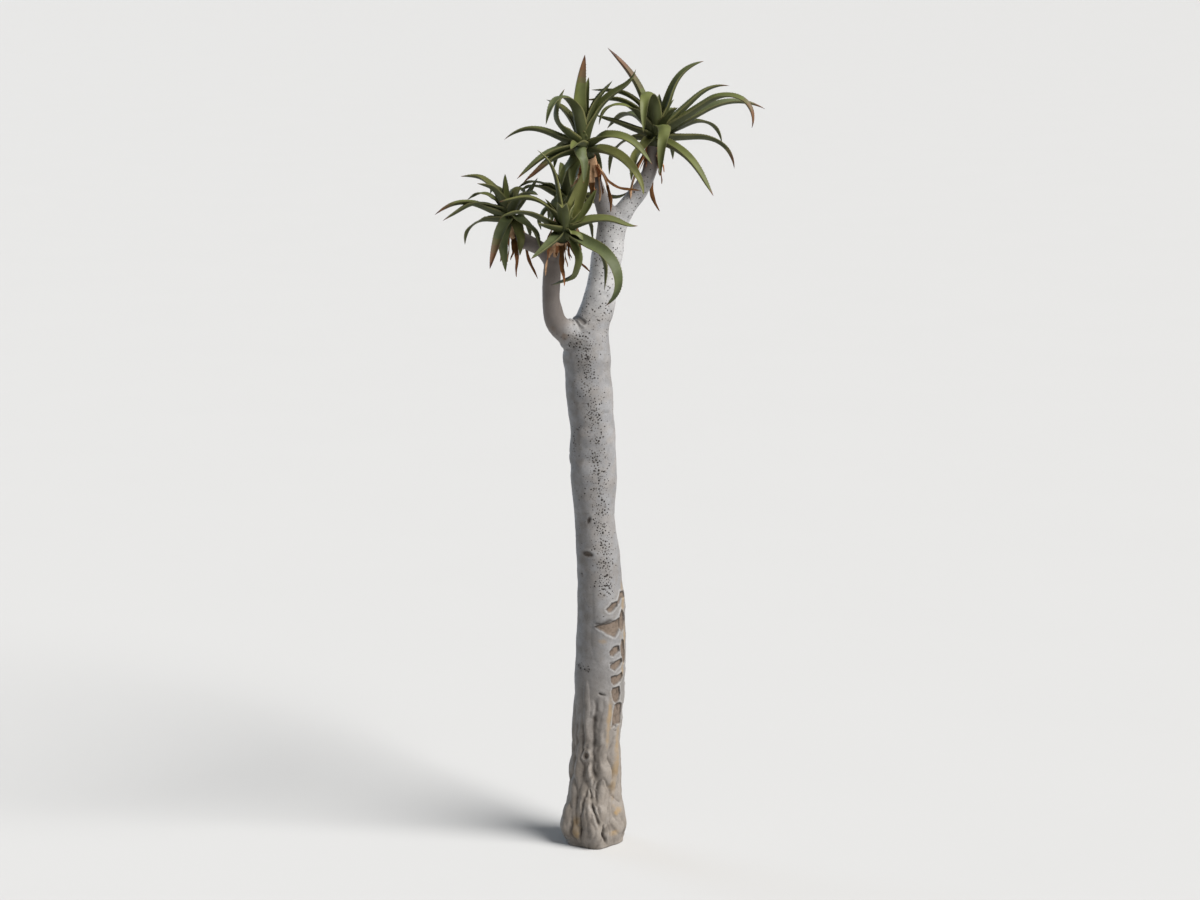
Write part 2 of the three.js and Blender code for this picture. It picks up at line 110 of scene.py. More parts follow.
ROSETTES = {
    "right": {
        "limb": "right", "start": 20, "reach": 270, "litter": 5, "old": (1,),
        "shown": [
            (173, 70, 24, 287, 0.6, 0, 0, 12),
            (2, 72, 62, 260, 0.76, 0, 0, -26),
            (8, 43, 66, 268, 0.88, 0, 0),
            (-18, 33, 158, 396, 0.81, 0, 0, -12),
            (14, 26, 62, 363, 0.79, 0, 0, -12),
            (31, 17, 105, 275, 0.77, 5, 0),
            (8, 1, 87, 290, 0.74, 2, 0),
            (-49, -12, 40, 289, 0.47, 10, 0),
            (-74, 33, 115, 286, 0.45, -35, 0),
            (-103, 66, 142, 335, 0.55, 0, 0),
            (193, 50, 128, 246, 0.66, 0, 0),
            (178, 20, 0, 190, 0.5, 0, 0),
            (168, 69, 66, 254, 0.45, 0, 0),
            (177, 62, 64, 254, 0.42, 0, 0),
            (232, -4, 68, 182, 0.4, 0, 0),
            (64, 46, 50, 160, 0.6, 0, 0),
            (-45, 54, 30, 120, 0.6, 0, 0),
        ],
        "dry": [
            (205, -58, 22, 150, 0.5, 0, 0),
            (95, -82, -30, 190, 0.75, -75, 0),
            (300, -66, 10, 90, 0.5, 0, 0),
        ],
        "rust": {0: 0.55, 2: 0.12, 3: 0.26, 4: 0.16, 6: 0.24, 7: 0.1, 13: 0.12},
    },
    "centre": {
        "limb": "centre", "start": 70, "reach": 240, "litter": 14, "shag": 1.6, "old": (2,),
        "shown": [
            (162, 81, -18, 257, 0.4, 0, 0, 38),
            (70, 84, 5, 188, 0.5, 0, 0),
            (243, 69, 139, 316, 0.62, -20, 0),
            (166, 21, 64, 260, 0.75, 0, 0),
            (-30, 80, 34, 210, 0.5, 0, 0, -30),
            (-16, 75, 46, 274, 0.42, 0, 50, -30),
            (-44, 28, 79, 275, 0.52, 24, 0, -28),
            (-36, 3, 46, 266, 0.39, 0, -41, -20),
            (258, 15, 30, 190, 0.6, 0, 0),
            (248, 20, 100, 182, 0.4, 60, 0),
            (204, 8, 46, 240, 0.38, 0, 0),
            (206, -4, 34, 222, 0.4, 0, 0),
            (226, -16, 60, 155, 0.5, 0, 0),
            (244, -20, 50, 148, 0.5, 0, 0),
            (208, 38, -94, 214, 0.65, 0, 0),
        ],
        "dry": [
            (-22, -58, 26, 150, 0.5, 0, 0),
            (-78, -66, 10, 110, 0.5, 0, 0),
            (-14, -62, -58, 164, 0.47, 0, 0),
        ],
        "rust": {0: 0.34, 3: 0.1, 10: 0.12, 11: 0.5},
        "broad": {0: 1.25},
    },
    "front": {
        "limb": "front", "start": 110, "reach": 200, "litter": 9, "old": (2,),
        "shown": [
            (176, 82, 50, 240, 0.8, 0, 0),
            (18, 62, -18, 203, 0.5, 0, 0, -50),
            (60, 70, 40, 150, 0.7, 0, 0),
            (-4, 22, 49, 221, 0.54, 0, 35, -22),
            (-38, -17, 132, 354, 0.71, 0, 0, -32),
            (-36, -28, 132, 256, 0.43, 0, 0),
            (244, -20, 6, 163, 0.51, -16, 0),
            (180, 64, 72, 228, 0.42, 0, 0),
            (192, 28, 60, 200, 0.72, 0, 0),
            (232, 14, 0, 120, 0.5, 0, 0),
            (92, 70, 34, 58, 0.6, 0, 0),
            (0, -20, 76, 241, 0.54, 0, 0),
            (0, 40, -23, 150, 0.5, 0, 0, -50),
            (-30, 4, 88, 95, 0.6, 0, 0),
        ],
        "dry": [
            (215, -76, 6, 100, 0.5, 0, 0),
            (-75, -72, 4, 130, 0.5, 0, 0),
            (-12, -60, -20, 115, 0.6, 0, 0),
        ],
        "rust": {3: 0.08, 7: 0.1},
        # Painted shade: row 10 takes the dark heart green and row 11 the blue green, for leaves that lie in
        # shadow.
        "tint": {4: "blue_green", 10: "deep", 11: "blue_green"},
        "broad": {0: 0.75, 1: 1.35},
    },
    "left": {
        "limb": "arm", "start": 150, "reach": 190, "litter": 9, "old": (1,),
        "shown": [
            (154, 62, 65, 208, 0.58, 0, 0),
            (168, 58, 96, 160, 0.58, 0, 0),
            (182, 22, 61, 238, 0.68, 0, 0),
            (188, 45, 78, 222, 0.38, 0, 0),
            (165, -1, 88, 191, 0.67, 0, 0),
            (251, -19, 62, 193, 0.46, 27, 0),
            (261, 6, 62, 245, 0.35, -14, 0),
            (150, 84, -10, 112, 0.5, 0, 0),
            (122, 74, 112, 160, 0.56, 0, 0),
            (64, 72, 112, 160, 0.56, 0, 0),
            (8, 46, -15, 138, 0.5, 0, 0),
            (292, 8, 105, 165, 0.42, 0, 0),
            (296, 10, 86, 205, 0.52, 48, 0),
        ],
        "dry": [
            (272, -72, 6, 130, 0.5, 0, 0),
            (30, -80, -28, 150, 0.7, -30, 0),
            (200, -60, 20, 90, 0.5, 0, 0),
        ],
        "rust": {0: 0.1, 2: 0.3, 3: 0.12, 6: 0.42},
    },
    "back": {
        "limb": "back", "start": 200, "reach": 185, "litter": 8, "old": (),
        "shown": [
            (176, 38, 78, 170, 0.64, 0, 0),
            (197, 28, 76, 156, 0.78, 0, 0),
            (10, 13, 22, 190, 0.4, 0, 55),
            (-10, 5, 92, 142, 0.72, 0, 0),
            (2, -27, 55, 148, 0.5, 0, 0),
            (110, 70, 40, 120, 0.6, 0, 0),
        ],
        "dry": [
            (0, -66, 12, 110, 0.5, 0, 0),
            (150, -62, 20, 120, 0.5, 0, 0),
        ],
        "rust": {2: 0.1},
    },
}

CORE_LENGTH = 80
CORE_PROFILE = ((0, 0), (1, 0), (1.06, 0.3), (0.8, 0.65), (0.42, 0.9), (0, 1))
ROOT_LEVELS = (0.2, 0.7)
ROOT_RISES = (-30, 90)
ROOT_OUT = 0.3
GOLDEN_ANGLE = 137.5
SPINE_STEPS = 70
BEND_SPREAD = 0.38
LIFT_FROM = 0.62
TWIST_LENGTH = 0.3
LEAF_WIDTH = 36
WIDTH_PER_LENGTH = 0.03
LEAF_THICKNESS = 0.27
TIP_THINNING = 0.75
CHANNEL_DEPTH = 0.25
CLASP = 0.4
CLASP_LENGTH = 0.14
BLADE_START = 0.9
BLADE_SWELL = 0.95  # fuller towards the tip than the solids' blades
BLADE_TAPER = 0.8
FILL_LEAVES = 13
FILL_RISES = (-8, 72)
FILL_DROOPS = (95, 40)
FILL_BEND = 0.55
FILL_SHORTENING = 0.28
FILL_SPREAD = 34
ROOM_STEP = 5
LIMB_ROOM = 26
LEAF_ROOM = 42
DRY_WIDTH = 20
DRY_SLEEVE = (36, 10)

# Marks on the trunk. Angles run about its middle line, 0 to the viewer's right and -90 to the front.

PEELS = (  # corners, as angle and height, of patches where bark has peeled down to tan wood
    ((-78, 772), (-70, 781), (-62, 788), (-43, 792), (-49, 778), (-60, 767), (-66, 762), (-73, 763)),
    ((-30, 818), (-9, 814), (-5, 800), (-30, 800), (-41, 785), (-46, 787)),
    ((-104, 718), (-85, 725), (-54, 733), (-42, 740), (-41, 713), (-49, 693), (-58, 680), (-86, 702)),
    ((-32, 763), (-22, 750), (-18, 725), (-25, 700), (-36, 694), (-41, 707), (-40, 745)),
    ((-62, 649), (-47, 652), (-44, 636), (-60, 621), (-69, 624), (-70, 636)),
    ((-36, 668), (-26, 660), (-19, 620), (-17, 590), (-27, 592), (-36, 624), (-40, 644)),
    ((-67, 594), (-49, 605), (-36, 608), (-32, 598), (-41, 585), (-55, 575), (-66, 583)),
    ((-64, 555), (-44, 557), (-34, 562), (-29, 551), (-35, 536), (-56, 527), (-64, 538)),
    ((-59, 519), (-39, 517), (-33, 493), (-35, 475), (-47, 469), (-55, 479), (-59, 503)),
    ((-49, 462), (-34, 465), (-20, 455), (-14, 392), (-36, 395), (-52, 392), (-52, 410)),
    ((-8, 770), (4, 748), (6, 690), (-4, 660), (-14, 690), (-14, 740)),
    ((-4, 640), (10, 628), (12, 596), (-2, 588), (-10, 612)),
    ((2, 560), (16, 556), (20, 520), (4, 512), (-4, 536)),
    ((8, 480), (22, 470), (20, 410), (6, 402), (0, 440)),
)
CRACKS = (  # width, depth, darkness, then places of angle and height
    (5, 4, 1, ((-106, 722), (-96, 727), (-82, 730), (-53, 735))),
    (4.5, 5, 1, ((-92, 506), (-83, 501), (-73, 499))),
    (3.5, 3, 1, ((-61, 649), (-48, 652))),
    (3, 3, 1, ((-67, 595), (-50, 605))),
    (3.5, 3, 1, ((-64, 556), (-45, 557))),
    (4, 3, 1, ((-59, 519), (-40, 517))),
    (2.5, 3, 1, ((-44, 514), (-40, 491))),
    (3.5, 3, 1, ((-46, 466), (-39, 452), (-32, 438))),
    (4, 3, 1, ((-52, 399), (-36, 390))),
    (3, 2, 1, ((-49, 380), (-37, 376))),
    (3, 3, 0.9, ((-134, 1337), (-126, 1335))),
    (10, 9, 0.8, ((-93, 490), (-97, 441), (-97, 393), (-94, 348), (-95, 299), (-94, 256), (-90, 224))),
    (3.5, 7, 1, ((-99, 195), (-99, 160))),
    (5, 8, 0.95, ((-97, 150), (-88, 120), (-84, 105), (-79, 79))),
    (6, 7, 0.6, ((-104, 204), (-114, 158), (-116, 111), (-115, 64), (-121, 22))),
    (4, 3.5, 0.3, ((-72, 233), (-58, 201), (-45, 168), (-21, 133))),
    (5, 4.5, 0.35, ((-74, 230), (-84, 208), (-89, 176), (-84, 141), (-77, 113))),
    (7, 6, 0.5, ((-128, 407), (-124, 366), (-124, 324), (-127, 294), (-119, 260), (-108, 217))),
    (8, 6, 0.4, ((-145, 402), (-145, 337), (-152, 276), (-154, 210))),
    (6, 6, 0.6, ((-137, 86), (-138, 48), (-130, 18))),
    (5.5, 10, 1, ((-69, 84), (-70, 56), (-66, 16))),
    (2.5, 4, 0.9, ((-59, 136), (-60, 116))),
    (5, 8, 0.8, ((28, 110), (30, 30))),
    (5, 8, 0.8, ((118, 130), (116, 40))),
    (4, 7, 0.8, ((162, 150), (160, 60))),
    (8, 7, 0.5, ((66, 340), (70, 250), (64, 170))),
    (8, 7, 0.5, ((150, 330), (156, 240), (150, 180))),
)
KNOTS = (  # angle, height, half length, half breadth, tilt, depth, height of the lip round it
    (-107, 1051, 8, 3.5, 66, 4, 1.5),
    (-117, 944, 14, 7, -6, 4, 1.5),
    (-114, 299, 9, 7, 60, 1.4, 6),
    (38, 1120, 12, 6, 8, 4, 2),
    (120, 860, 9, 5, 20, 3, 2),
    (172, 1232, 10, 5, -10, 3, 2),
    (86, 420, 12, 8, 0, 4, 4),
)
BUMPS = (  # angle, height, half height, half breadth, swell: soft rises and hollows of the upper trunk
    (-108, 1452, 24, 26, 3.5),
    (-128, 1398, 16, 22, -2.5),
    (-125, 1344, 15, 24, -4),
    (-108, 1312, 34, 30, 4),
    (-110, 1240, 16, 40, -4),
    (-104, 1199, 22, 36, 3.5),
    (-48, 1403, 17, 15, 3),
    (-45, 1383, 5, 15, -2),
    (-60, 1500, 30, 30, 2.5),
    (-168, 1574, 13, 60, -7),
    (172, 1530, 20, 50, 2),
    (-20, 1535, 24, 40, 3),
    (60, 1350, 30, 34, 4),
    (120, 1200, 30, 34, 4),
    (150, 1450, 24, 30, 3.5),
    (80, 1050, 26, 30, 3),
)
LOBES = (  # angle, height, half length, half breadth, tilt, taper, swell: bark that has run like wax
    (-86, 735, 150, 35, 88, 0, 3.5),
    (-72, 325, 168, 19, 90, 0, 7),
    (-119, 450, 90, 13, 92, 0, 5),
    (-116, 352, 42, 9, 80, 0, 5),
    (-102, 242, 40, 11, 97, -0.2, 8),
    (-71, 150, 95, 29, 90, -0.5, 7),
    (-97, 70, 98, 35, 98, -0.5, 9),
    (-42, 40, 52, 44, 90, 0, 7),
    (-155, 75, 58, 28, 85, 0, 9),
    (-127, 85, 78, 15, 92, 0, 4),
    (-141, 215, 92, 26, 90, 0, 5),
    (-114, 150, 72, 20, 92, 0, 5),
    (-34, 260, 112, 26, 90, 0, 4),
    (-5, 150, 120, 34, 90, -0.3, 7),
    (12, 60, 75, 36, 90, -0.3, 8),
    (15, 430, 120, 22, 92, 0, 5),
    (40, 250, 140, 26, 92, 0, 6),
    (55, 80, 85, 36, 86, -0.4, 9),
    (80, 420, 110, 20, 88, 0, 5),
    (88, 170, 120, 28, 90, -0.3, 7),
    (100, 50, 60, 34, 90, -0.2, 8),
    (128, 260, 150, 26, 88, 0, 6),
    (140, 85, 90, 36, 92, -0.4, 9),
    (172, 190, 110, 28, 92, -0.2, 6),
    (185, 60, 70, 34, 88, -0.2, 8),
    (184, 360, 120, 22, 90, 0, 5),
)
STAINS = (  # angle, height, half length, half breadth, tilt, strength: ochre seeping out of the bark
    (-62, 422, 54, 6, 88, 0.6),
    (-38, 232, 66, 12, 86, 0.5),
    (-34, 113, 13, 8, 20, 1),
    (-47, 47, 13, 7, 0, 1),
    (-127, 66, 34, 11, 88, 0.55),
    (-86, 671, 8, 6, 0, 0.5),
    (-24, 770, 70, 8, 80, 0.5),
    (-22, 640, 70, 8, 84, 0.6),
    (-30, 330, 60, 10, 84, 0.5),
    (20, 500, 60, 9, 84, 0.5),
    (160, 300, 70, 9, 88, 0.4),
)
GRIME_AND_SHADE = (  # angle, height, half length, half breadth, tilt, strength: grey lichen and soot, and two rows of painted shade
    (-127, 1168, 7, 6, 0, 0.8),
    (-140, 877, 4, 6, 0, 0.8),
    (-146, 582, 15, 12, 0, 0.9),
    (-120, 582, 10, 11, 0, 0.8),
    (-125, 650, 30, 9, 80, 0.6),
    (-143, 1283, 22, 3, 88, 0.9),
    # Painted shade: a strip darkening the valley down the front of the lower trunk.
    (-95, 430, 90, 8, 90, 0.35),
    (-118, 800, 60, 5, 84, 0.3),
    # Painted shade: a long, broad band darkening the trunk's left side, away from the key light.
    (-150, 1000, 700, 40, 90, 0.55),
    (-124, 330, 230, 26, 90, 0.5),
    (-60, 1600, 60, 60, 0, 0.35),
    (80, 1050, 40, 30, 30, 0.4),
    (150, 700, 60, 24, 70, 0.4),
)
ELBOW_FOLD = (  # points along the crease above the left bough's elbow
    (-80, -32, 1682), (-63, -8, 1676), (-46, -27, 1671), (-31, -44, 1661),
)
BOUGH_MARKS = (  # a point on the bark, radius, colour
    (-46, -66, 1602, 26, "grime"),
    (-125, -75, 1646, 9, "scar"),
    (-88, -76, 1617, 13, "scar"),
    (-102, -80, 1612, 9, "grime"),
    (-140, -66, 1760, 8, "grime"),
)
BOUGH_SWELLS = ((84, 10, 1770, 60, 8), (84, 15, 1865, 50, 8))  # a point on the bark, reach, swell
SWELLINGS = (  # height, size, place in the noise: soft unevenness all over the bark
    (2.6, (75, 75, 60), 0),
    (1.0, 31, 5),
    (0.35, 9, 2),
)
FLOW_DEPTH = 4  # how far the flare lies back between its lobes
FOLD_CELL = np.array((44, 44, 130))  # size of the folds that run down the root flare
FOLD_SHARES = ((1, 1), (0.4, 0.45))  # depth and size of the broad folds and of the fine ones among them
FOLD_DEPTH = 11
FOLD_GRAIN = np.array((9, 9, 20))
CREASE_DEPTH = 5  # bark pinched at the left bough's fork
PEEL_DEPTH = 3.5
PEEL_LIP = 1.4
DOTTED_GRIME = 0.8  # patches of grime this strong have lichen dots too
DOT_BAND = ((816, -76), (925, -70), (1050, -72), (1185, -77), (1302, -78), (1427, -86), (1550, -90))
DOT_BAND_WIDTH = 24  # degrees to either side
DOT_STRAYS = 0.06  # share of the band's dots on the rest of the trunk
BOUGH_DOTS = 0.4  # and on the boughs
# How much each bough's bark is darkened towards the bough colour as painted shade; every bough is darkened
# fully at its tip, under its rosette.
BOUGH_SHADE = {"left": 0.9, "front": 0.9, "arm": 0.9, "back": 0.9, "right": 0.05, "centre": 0.35}

# Heights, or lengths along a limb, between which a look of the bark comes or goes

TRUNK_TOP = (1580, 1660)
FLOW_TOP = (300, 560)
FOLD_TOP = (230, 520)
CROTCH_FOOT = (1520, 1560)
CROTCH_TOP = (1660, 1720)
UPPER_FORKS = (1780, 1830)
WARM_TOP = (180, 760)
SOOTY_TOP = (760, 1250)
CHALK_FOOT = (1650, 1770)
CHALK_ON_RIGHT = (90, 180)
ELBOW_END = (60, 150)
LEFT_SHADE_START = (50, 140)
TIP_SHADE = (-120, -40)
DOTS_FOOT = (770, 850)
STRAYS_FOOT = (560, 900)
BOUGH_DOTS_FOOT = (1560, 1640)
GROUND_FADE = (-4, 16)

# How far inside and outside the edge of a mark its look goes from full to none

PEEL_EDGE = (-2, 1)
KNOT_EDGE = (-2.5, 1.5)
PATCH_EDGE = (-4, 7)
PATCH_DOTS_EDGE = (-3, 8)
BOUGH_MARK_EDGE = (-3, 5)
BOUGH_DOTS_EDGE = (-3, 14)

# How far to either side of the seam between two limbs one limb's look takes over from the other's

TRUNK_SEAM = (0, 12)
CHALK_SEAM = (-6, 16)
ELBOW_SEAM = (-10, 6)
SHADE_SEAM = (-3, 22)


def smoothstep(value, low, high):
    """0 up to low, 1 from high on, and smooth between them."""
    t = np.clip((value - low) / (high - low), 0, 1)
    return t * t * (3 - 2 * t)


def below(value, low, high):
    """1 up to low, 0 from high on, and smooth between them."""
    return smoothstep(-value, -high, -low)


def bell(value, width):
    """1 where a value is 0, falling off smoothly to either side."""
    return np.exp(-((value / width) ** 2))


def smooth_union(a, b, reach):
    """The lesser of two distances, rounded where they are within reach of each other."""
    overlap = np.maximum(reach - np.abs(a - b), 0) / reach
    return np.minimum(a, b) - overlap * overlap * reach / 4


def turned(angle):
    """An angle in degrees brought to between -180 and 180."""
    return (angle + 180) % 360 - 180


def linear(hex_colour):
    """An sRGB hex colour as linear red, green and blue."""
    values = [int(hex_colour[i:i + 2], 16) / 255 for i in (1, 3, 5)]
    return [v / 12.92 if v <= 0.04045 else ((v + 0.055) / 1.055) ** 2.4 for v in values]


class Lumps:
    """Smooth seeded noise between -1 and 1, sampled at points given in its own cells."""

    def __init__(self, seed):
        draw = np.random.default_rng(seed)
        self.order = draw.permutation(256)
        self.level = draw.uniform(-1, 1, 256)

    def at(self, points):
        base = np.floor(points).astype(int)
        part = points - base
        part = part * part * (3 - 2 * part)
        total = np.zeros(len(points))
        for corner in itertools.product((0, 1), repeat=3):
            x, y, z = ((base + corner) & 255).T
            share = np.prod(np.where(corner, part, 1 - part), axis=1)
            total += share * self.level[self.order[(self.order[(self.order[x] + y) & 255] + z) & 255]]
        return total

    def rough(self, points, octaves):
        return sum(self.at(points * 2**i + 17 * i) / 2**i for i in range(octaves))


# Trunk and limb lines


def trunk_at(height):
    """Lean and radius of the trunk at each height, on one curve through its stations."""
    z = TRUNK_STATIONS[:, 0]
    last = len(z) - 1
    i = np.clip(np.searchsorted(z, height) - 1, 0, last - 1)
    t = np.clip((height - z[i]) / (z[i + 1] - z[i]), 0, 1)[..., None]
    before, low, high, after = (TRUNK_STATIONS[np.clip(i + k, 0, last), 1:] for k in (-1, 0, 1, 2))
    start = (high - before) / 2
    end = (after - low) / 2
    value = ((2 * low - 2 * high + start + end) * t - 3 * low + 3 * high - 2 * start - end) * t + start
    value = value * t + low
    return value[..., 0], value[..., 1]


def trunk_angle(points):
    """The turn of points about the trunk's middle line, in radians."""
    lean, _ = trunk_at(points[:, 2])
    return np.arctan2(points[:, 1], points[:, 0] - lean)


def trunk_distance(points):
    """How far points are outside the trunk, with a rounded top."""
    lean, radius = trunk_at(points[:, 2])
    angle = np.arctan2(points[:, 1], points[:, 0] - lean)
    fade = np.clip(1 - points[:, 2] / FLARE_HEIGHT, 0, 1)
    radius = radius * (1 + FLARE_DEPTH * fade * np.cos(FLARE_FOLDS * angle + FLARE_TURN))
    side = np.hypot(points[:, 0] - lean, points[:, 1]) - radius
    return -smooth_union(-side, TRUNK_STATIONS[-1, 0] - points[:, 2], TRUNK_ROUNDING)


class LimbLine:
    """A limb's middle line, a centripetal curve walked by its length, and its radius."""

    STEPS = 60
    NUDGE = 0.5
    SPACING = 14

    def __init__(self, path, radius, early):
        knots = np.array(path, float)
        knots = np.vstack([2 * knots[0] - knots[1], knots, 2 * knots[-1] - knots[-2]])
        gaps = np.sqrt(np.linalg.norm(np.diff(knots, axis=0), axis=1))
        t = np.linspace(0, 1, self.STEPS, endpoint=False)[:, None]
        pieces = []
        for i in range(1, len(knots) - 2):
            (a, b, c, d), (first, middle, last) = knots[i - 1:i + 3], gaps[i - 1:i + 2]
            start = ((b - a) / first - (c - a) / (first + middle) + (c - b) / middle) * middle
            end = ((c - b) / middle - (d - b) / (middle + last) + (d - c) / last) * middle
            cubic = (2 * b - 2 * c + start + end) * t - 3 * b + 3 * c - 2 * start - end
            pieces.append(((cubic * t) + start) * t + b)
        self.points = np.vstack([*pieces, knots[-2:-1]])
        steps = np.linalg.norm(np.diff(self.points, axis=0), axis=1)
        self.walked = np.concatenate([[0], np.cumsum(steps)])
        self.length = self.walked[-1]
        self.thick, self.thin = radius
        self.early = early

    def at(self, along):
        return np.stack([np.interp(along, self.walked, axis) for axis in self.points.T], axis=-1)

    def ahead(self, along):
        step = self.at(min(along + self.NUDGE, self.length)) - self.at(max(along - self.NUDGE, 0))
        return step / np.linalg.norm(step)

    def radius_at(self, along):
        return self.thin + (self.thick - self.thin) * np.maximum(0, 1 - along / self.length) ** self.early

    def distance(self, points):
        """How far points are outside the limb, and how far along it they lie."""
        marks = np.linspace(0, self.length, max(3, round(self.length / self.SPACING) + 1))
        line, radius = self.at(marks), self.radius_at(marks)
        best = np.full(len(points), np.inf)
        along = np.zeros(len(points))
        for i in range(len(marks) - 1):
            run = line[i + 1] - line[i]
            t = np.clip((points - line[i]) @ run / (run @ run), 0, 1)
            gap = np.linalg.norm(points - line[i] - t[:, None] * run, axis=1)
            gap -= radius[i] + t * (radius[i + 1] - radius[i])
            nearer = gap < best
            best = np.where(nearer, gap, best)
            along = np.where(nearer, marks[i] + t * (marks[i + 1] - marks[i]), along)
        return best, along


LINES = {name: LimbLine(*limb) for name, limb in LIMBS.items()}


# Leaf rules


def heading(turn):
    """A level direction at a turn in degrees."""
    return np.array([math.cos(math.radians(turn)), math.sin(math.radians(turn)), 0])


def twisted(side, face, angle):
    """A blade's two directions across, turned about its middle line."""
    cos, sin = np.cos(angle)[:, None], np.sin(angle)[:, None]
    return side * cos + face * sin, face * cos - side * sin


def leaf_spine(root, row, steps=SPINE_STEPS):
    """Points on a leaf's middle line with its sideways and upper-face directions."""
    turn, rise, droop, length, bend, sweep, lift, twist = (*row, 0)[:8]
    t = np.linspace(0, 1, steps + 1)
    bent = smoothstep(t, bend - BEND_SPREAD, bend + BEND_SPREAD)
    tip = np.maximum(0, (t - LIFT_FROM) / (1 - LIFT_FROM))
    climb = np.radians(rise - droop * bent + lift * tip**2)
    aim = np.radians(turn + sweep * bent)
    ahead = np.stack([np.cos(climb) * np.cos(aim), np.cos(climb) * np.sin(aim), np.sin(climb)], axis=1)
    side = np.stack([np.sin(aim), -np.cos(aim), np.zeros_like(aim)], axis=1)
    side, face = twisted(side, np.cross(side, ahead), np.radians(twist) * np.minimum(1, t / TWIST_LENGTH))
    moves = ahead * length / steps
    moves[0] = 0
    return root + np.cumsum(moves, axis=0), side, face


def leaf_root(line, row):
    """Where a leaf starts inside its stem: higher up the more it rises."""
    level = np.clip(np.interp(row[1], ROOT_RISES, ROOT_LEVELS), *ROOT_LEVELS)
    out = heading(row[0]) * line.radius_at(line.length) * ROOT_OUT
    return line.points[-1] + line.ahead(line.length) * CORE_LENGTH * level + out


def leaf_aim(row):
    """The direction in which a leaf points at about half its length."""
    climb = math.radians(row[1] - row[2] / 2)
    return heading(row[0]) * math.cos(climb) + np.array([0, 0, math.sin(climb)])


def nearest(points, others):
    """The least distance between two sets of points."""
    return np.linalg.norm(points[:, None] - others[None], axis=2).min()


def has_room(name, row):
    """Whether the outer part of a leaf keeps clear of every limb and of the other rosettes' leaves."""
    spine, _, _ = leaf_spine(leaf_root(LINES[ROSETTES[name]["limb"]], row), row)
    outer = spine[[i for i in range(0, SPINE_STEPS + 1, ROOM_STEP) if i > SPINE_STEPS / 4]]
    for line in LINES.values():
        marks = np.arange(0, line.length, LIMB_ROOM)
        gaps = np.linalg.norm(outer[:, None] - line.at(marks)[None], axis=2).min(axis=0)
        if np.any(gaps < line.radius_at(marks) + LIMB_ROOM):
            return False
    for other, rosette in ROSETTES.items():
        if other == name:
            continue
        for taken in [*rosette["shown"], *rosette.get("fill", []), *rosette["dry"]]:
            stations, _, _ = leaf_spine(leaf_root(LINES[rosette["limb"]], taken), taken)
            if nearest(outer, stations) < LEAF_ROOM:
                return False
    return True


def deal_fill_leaves():
    """Leaves on the sides that don't show, dealt out by the golden angle from the lowest up."""
    for name, rosette in ROSETTES.items():
        rosette["fill"] = []
        for i in range(FILL_LEAVES):
            level = (i + 0.5) / FILL_LEAVES
            rise = FILL_RISES[0] + (FILL_RISES[1] - FILL_RISES[0]) * level
            droop = FILL_DROOPS[0] + (FILL_DROOPS[1] - FILL_DROOPS[0]) * level
            length = rosette["reach"] * (1 - FILL_SHORTENING * (1 - math.sin(math.pi * level)))
            row = (rosette["start"] + GOLDEN_ANGLE * i, rise, droop, length, FILL_BEND, 0, 0)
            near = math.cos(math.radians(FILL_SPREAD))
            taken = [*rosette["shown"], *rosette["fill"]]
            if all(leaf_aim(row) @ leaf_aim(other) <= near for other in taken) and has_room(name, row):
                rosette["fill"].append(row)


# Meshes


class Pile:
    """Many small shapes gathered into one mesh, each face with its material and its place on the shape."""

    def __init__(self):
        self.points, self.faces, self.slots, self.places = [], [], [], []
        self.count = 0

    def add(self, points, faces, slots, places):
        self.points.append(np.asarray(points, float))
        self.faces.extend([[i + self.count for i in face] for face in faces])
        self.slots.extend(slots)
        self.places.append(np.asarray(places, float))
        self.count += len(points)

    def object(self, name, materials):
        mesh = new_mesh(name, np.vstack(self.points), self.faces, materials)
        mesh.polygons.foreach_set("material_index", self.slots)
        corners = np.empty(len(mesh.loops), np.int32)
        mesh.loops.foreach_get("vertex_index", corners)
        layer = mesh.uv_layers.new(name="place")
        layer.data.foreach_set("uv", (np.vstack(self.places)[corners] * MM).ravel())
        return new_object(name, mesh)


def new_mesh(name, points, faces, materials):
    """A smooth mesh from points in millimetres."""
    mesh = bpy.data.meshes.new(name)
    mesh.from_pydata((np.asarray(points) * MM).tolist(), [], faces)
    for material in materials:
        mesh.materials.append(material)
    mesh.polygons.foreach_set("use_smooth", np.ones(len(mesh.polygons), bool))
    mesh.update()
    return mesh


def new_object(name, mesh):
    made = bpy.data.objects.new(name, mesh)
    bpy.context.scene.collection.objects.link(made)
    return made


def add_values(mesh, name, values):
    mesh.attributes.new(name, "FLOAT", "POINT").data.foreach_set("value", np.asarray(values, np.float32))


def seat(made, slot, *nodes):
    """Rides a piece on the tree and hides the solids it stands for; its finish, slot, is not used."""
    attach(made, BODY)
    if nodes:
        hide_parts(*nodes)


# Bark skin

SPLIT_HEIGHT = 1500  # the trunk's skin ends here, and the boughs' begins
TAPER_LIMITS = (0.12, 2)  # of a tapering mark's breadth
HOLLOWS = (0.05, 0.22)  # how hollow the skin is where shade begins, and where it is full
HOLLOW_SHADE = 0.6
CRESTS = (0.05, 0.2)
CREST_WEAR = 0.3
TRUNK_REACH = 126  # half the width of the space round the trunk
FORK_BLEND = {"main": 16, "left": 42, "right": 14, "centre": 14, "front": 10, "arm": 10, "back": 10}
FAR = 60.0
LIMB_PAD = 40
TOP_PAD = 20


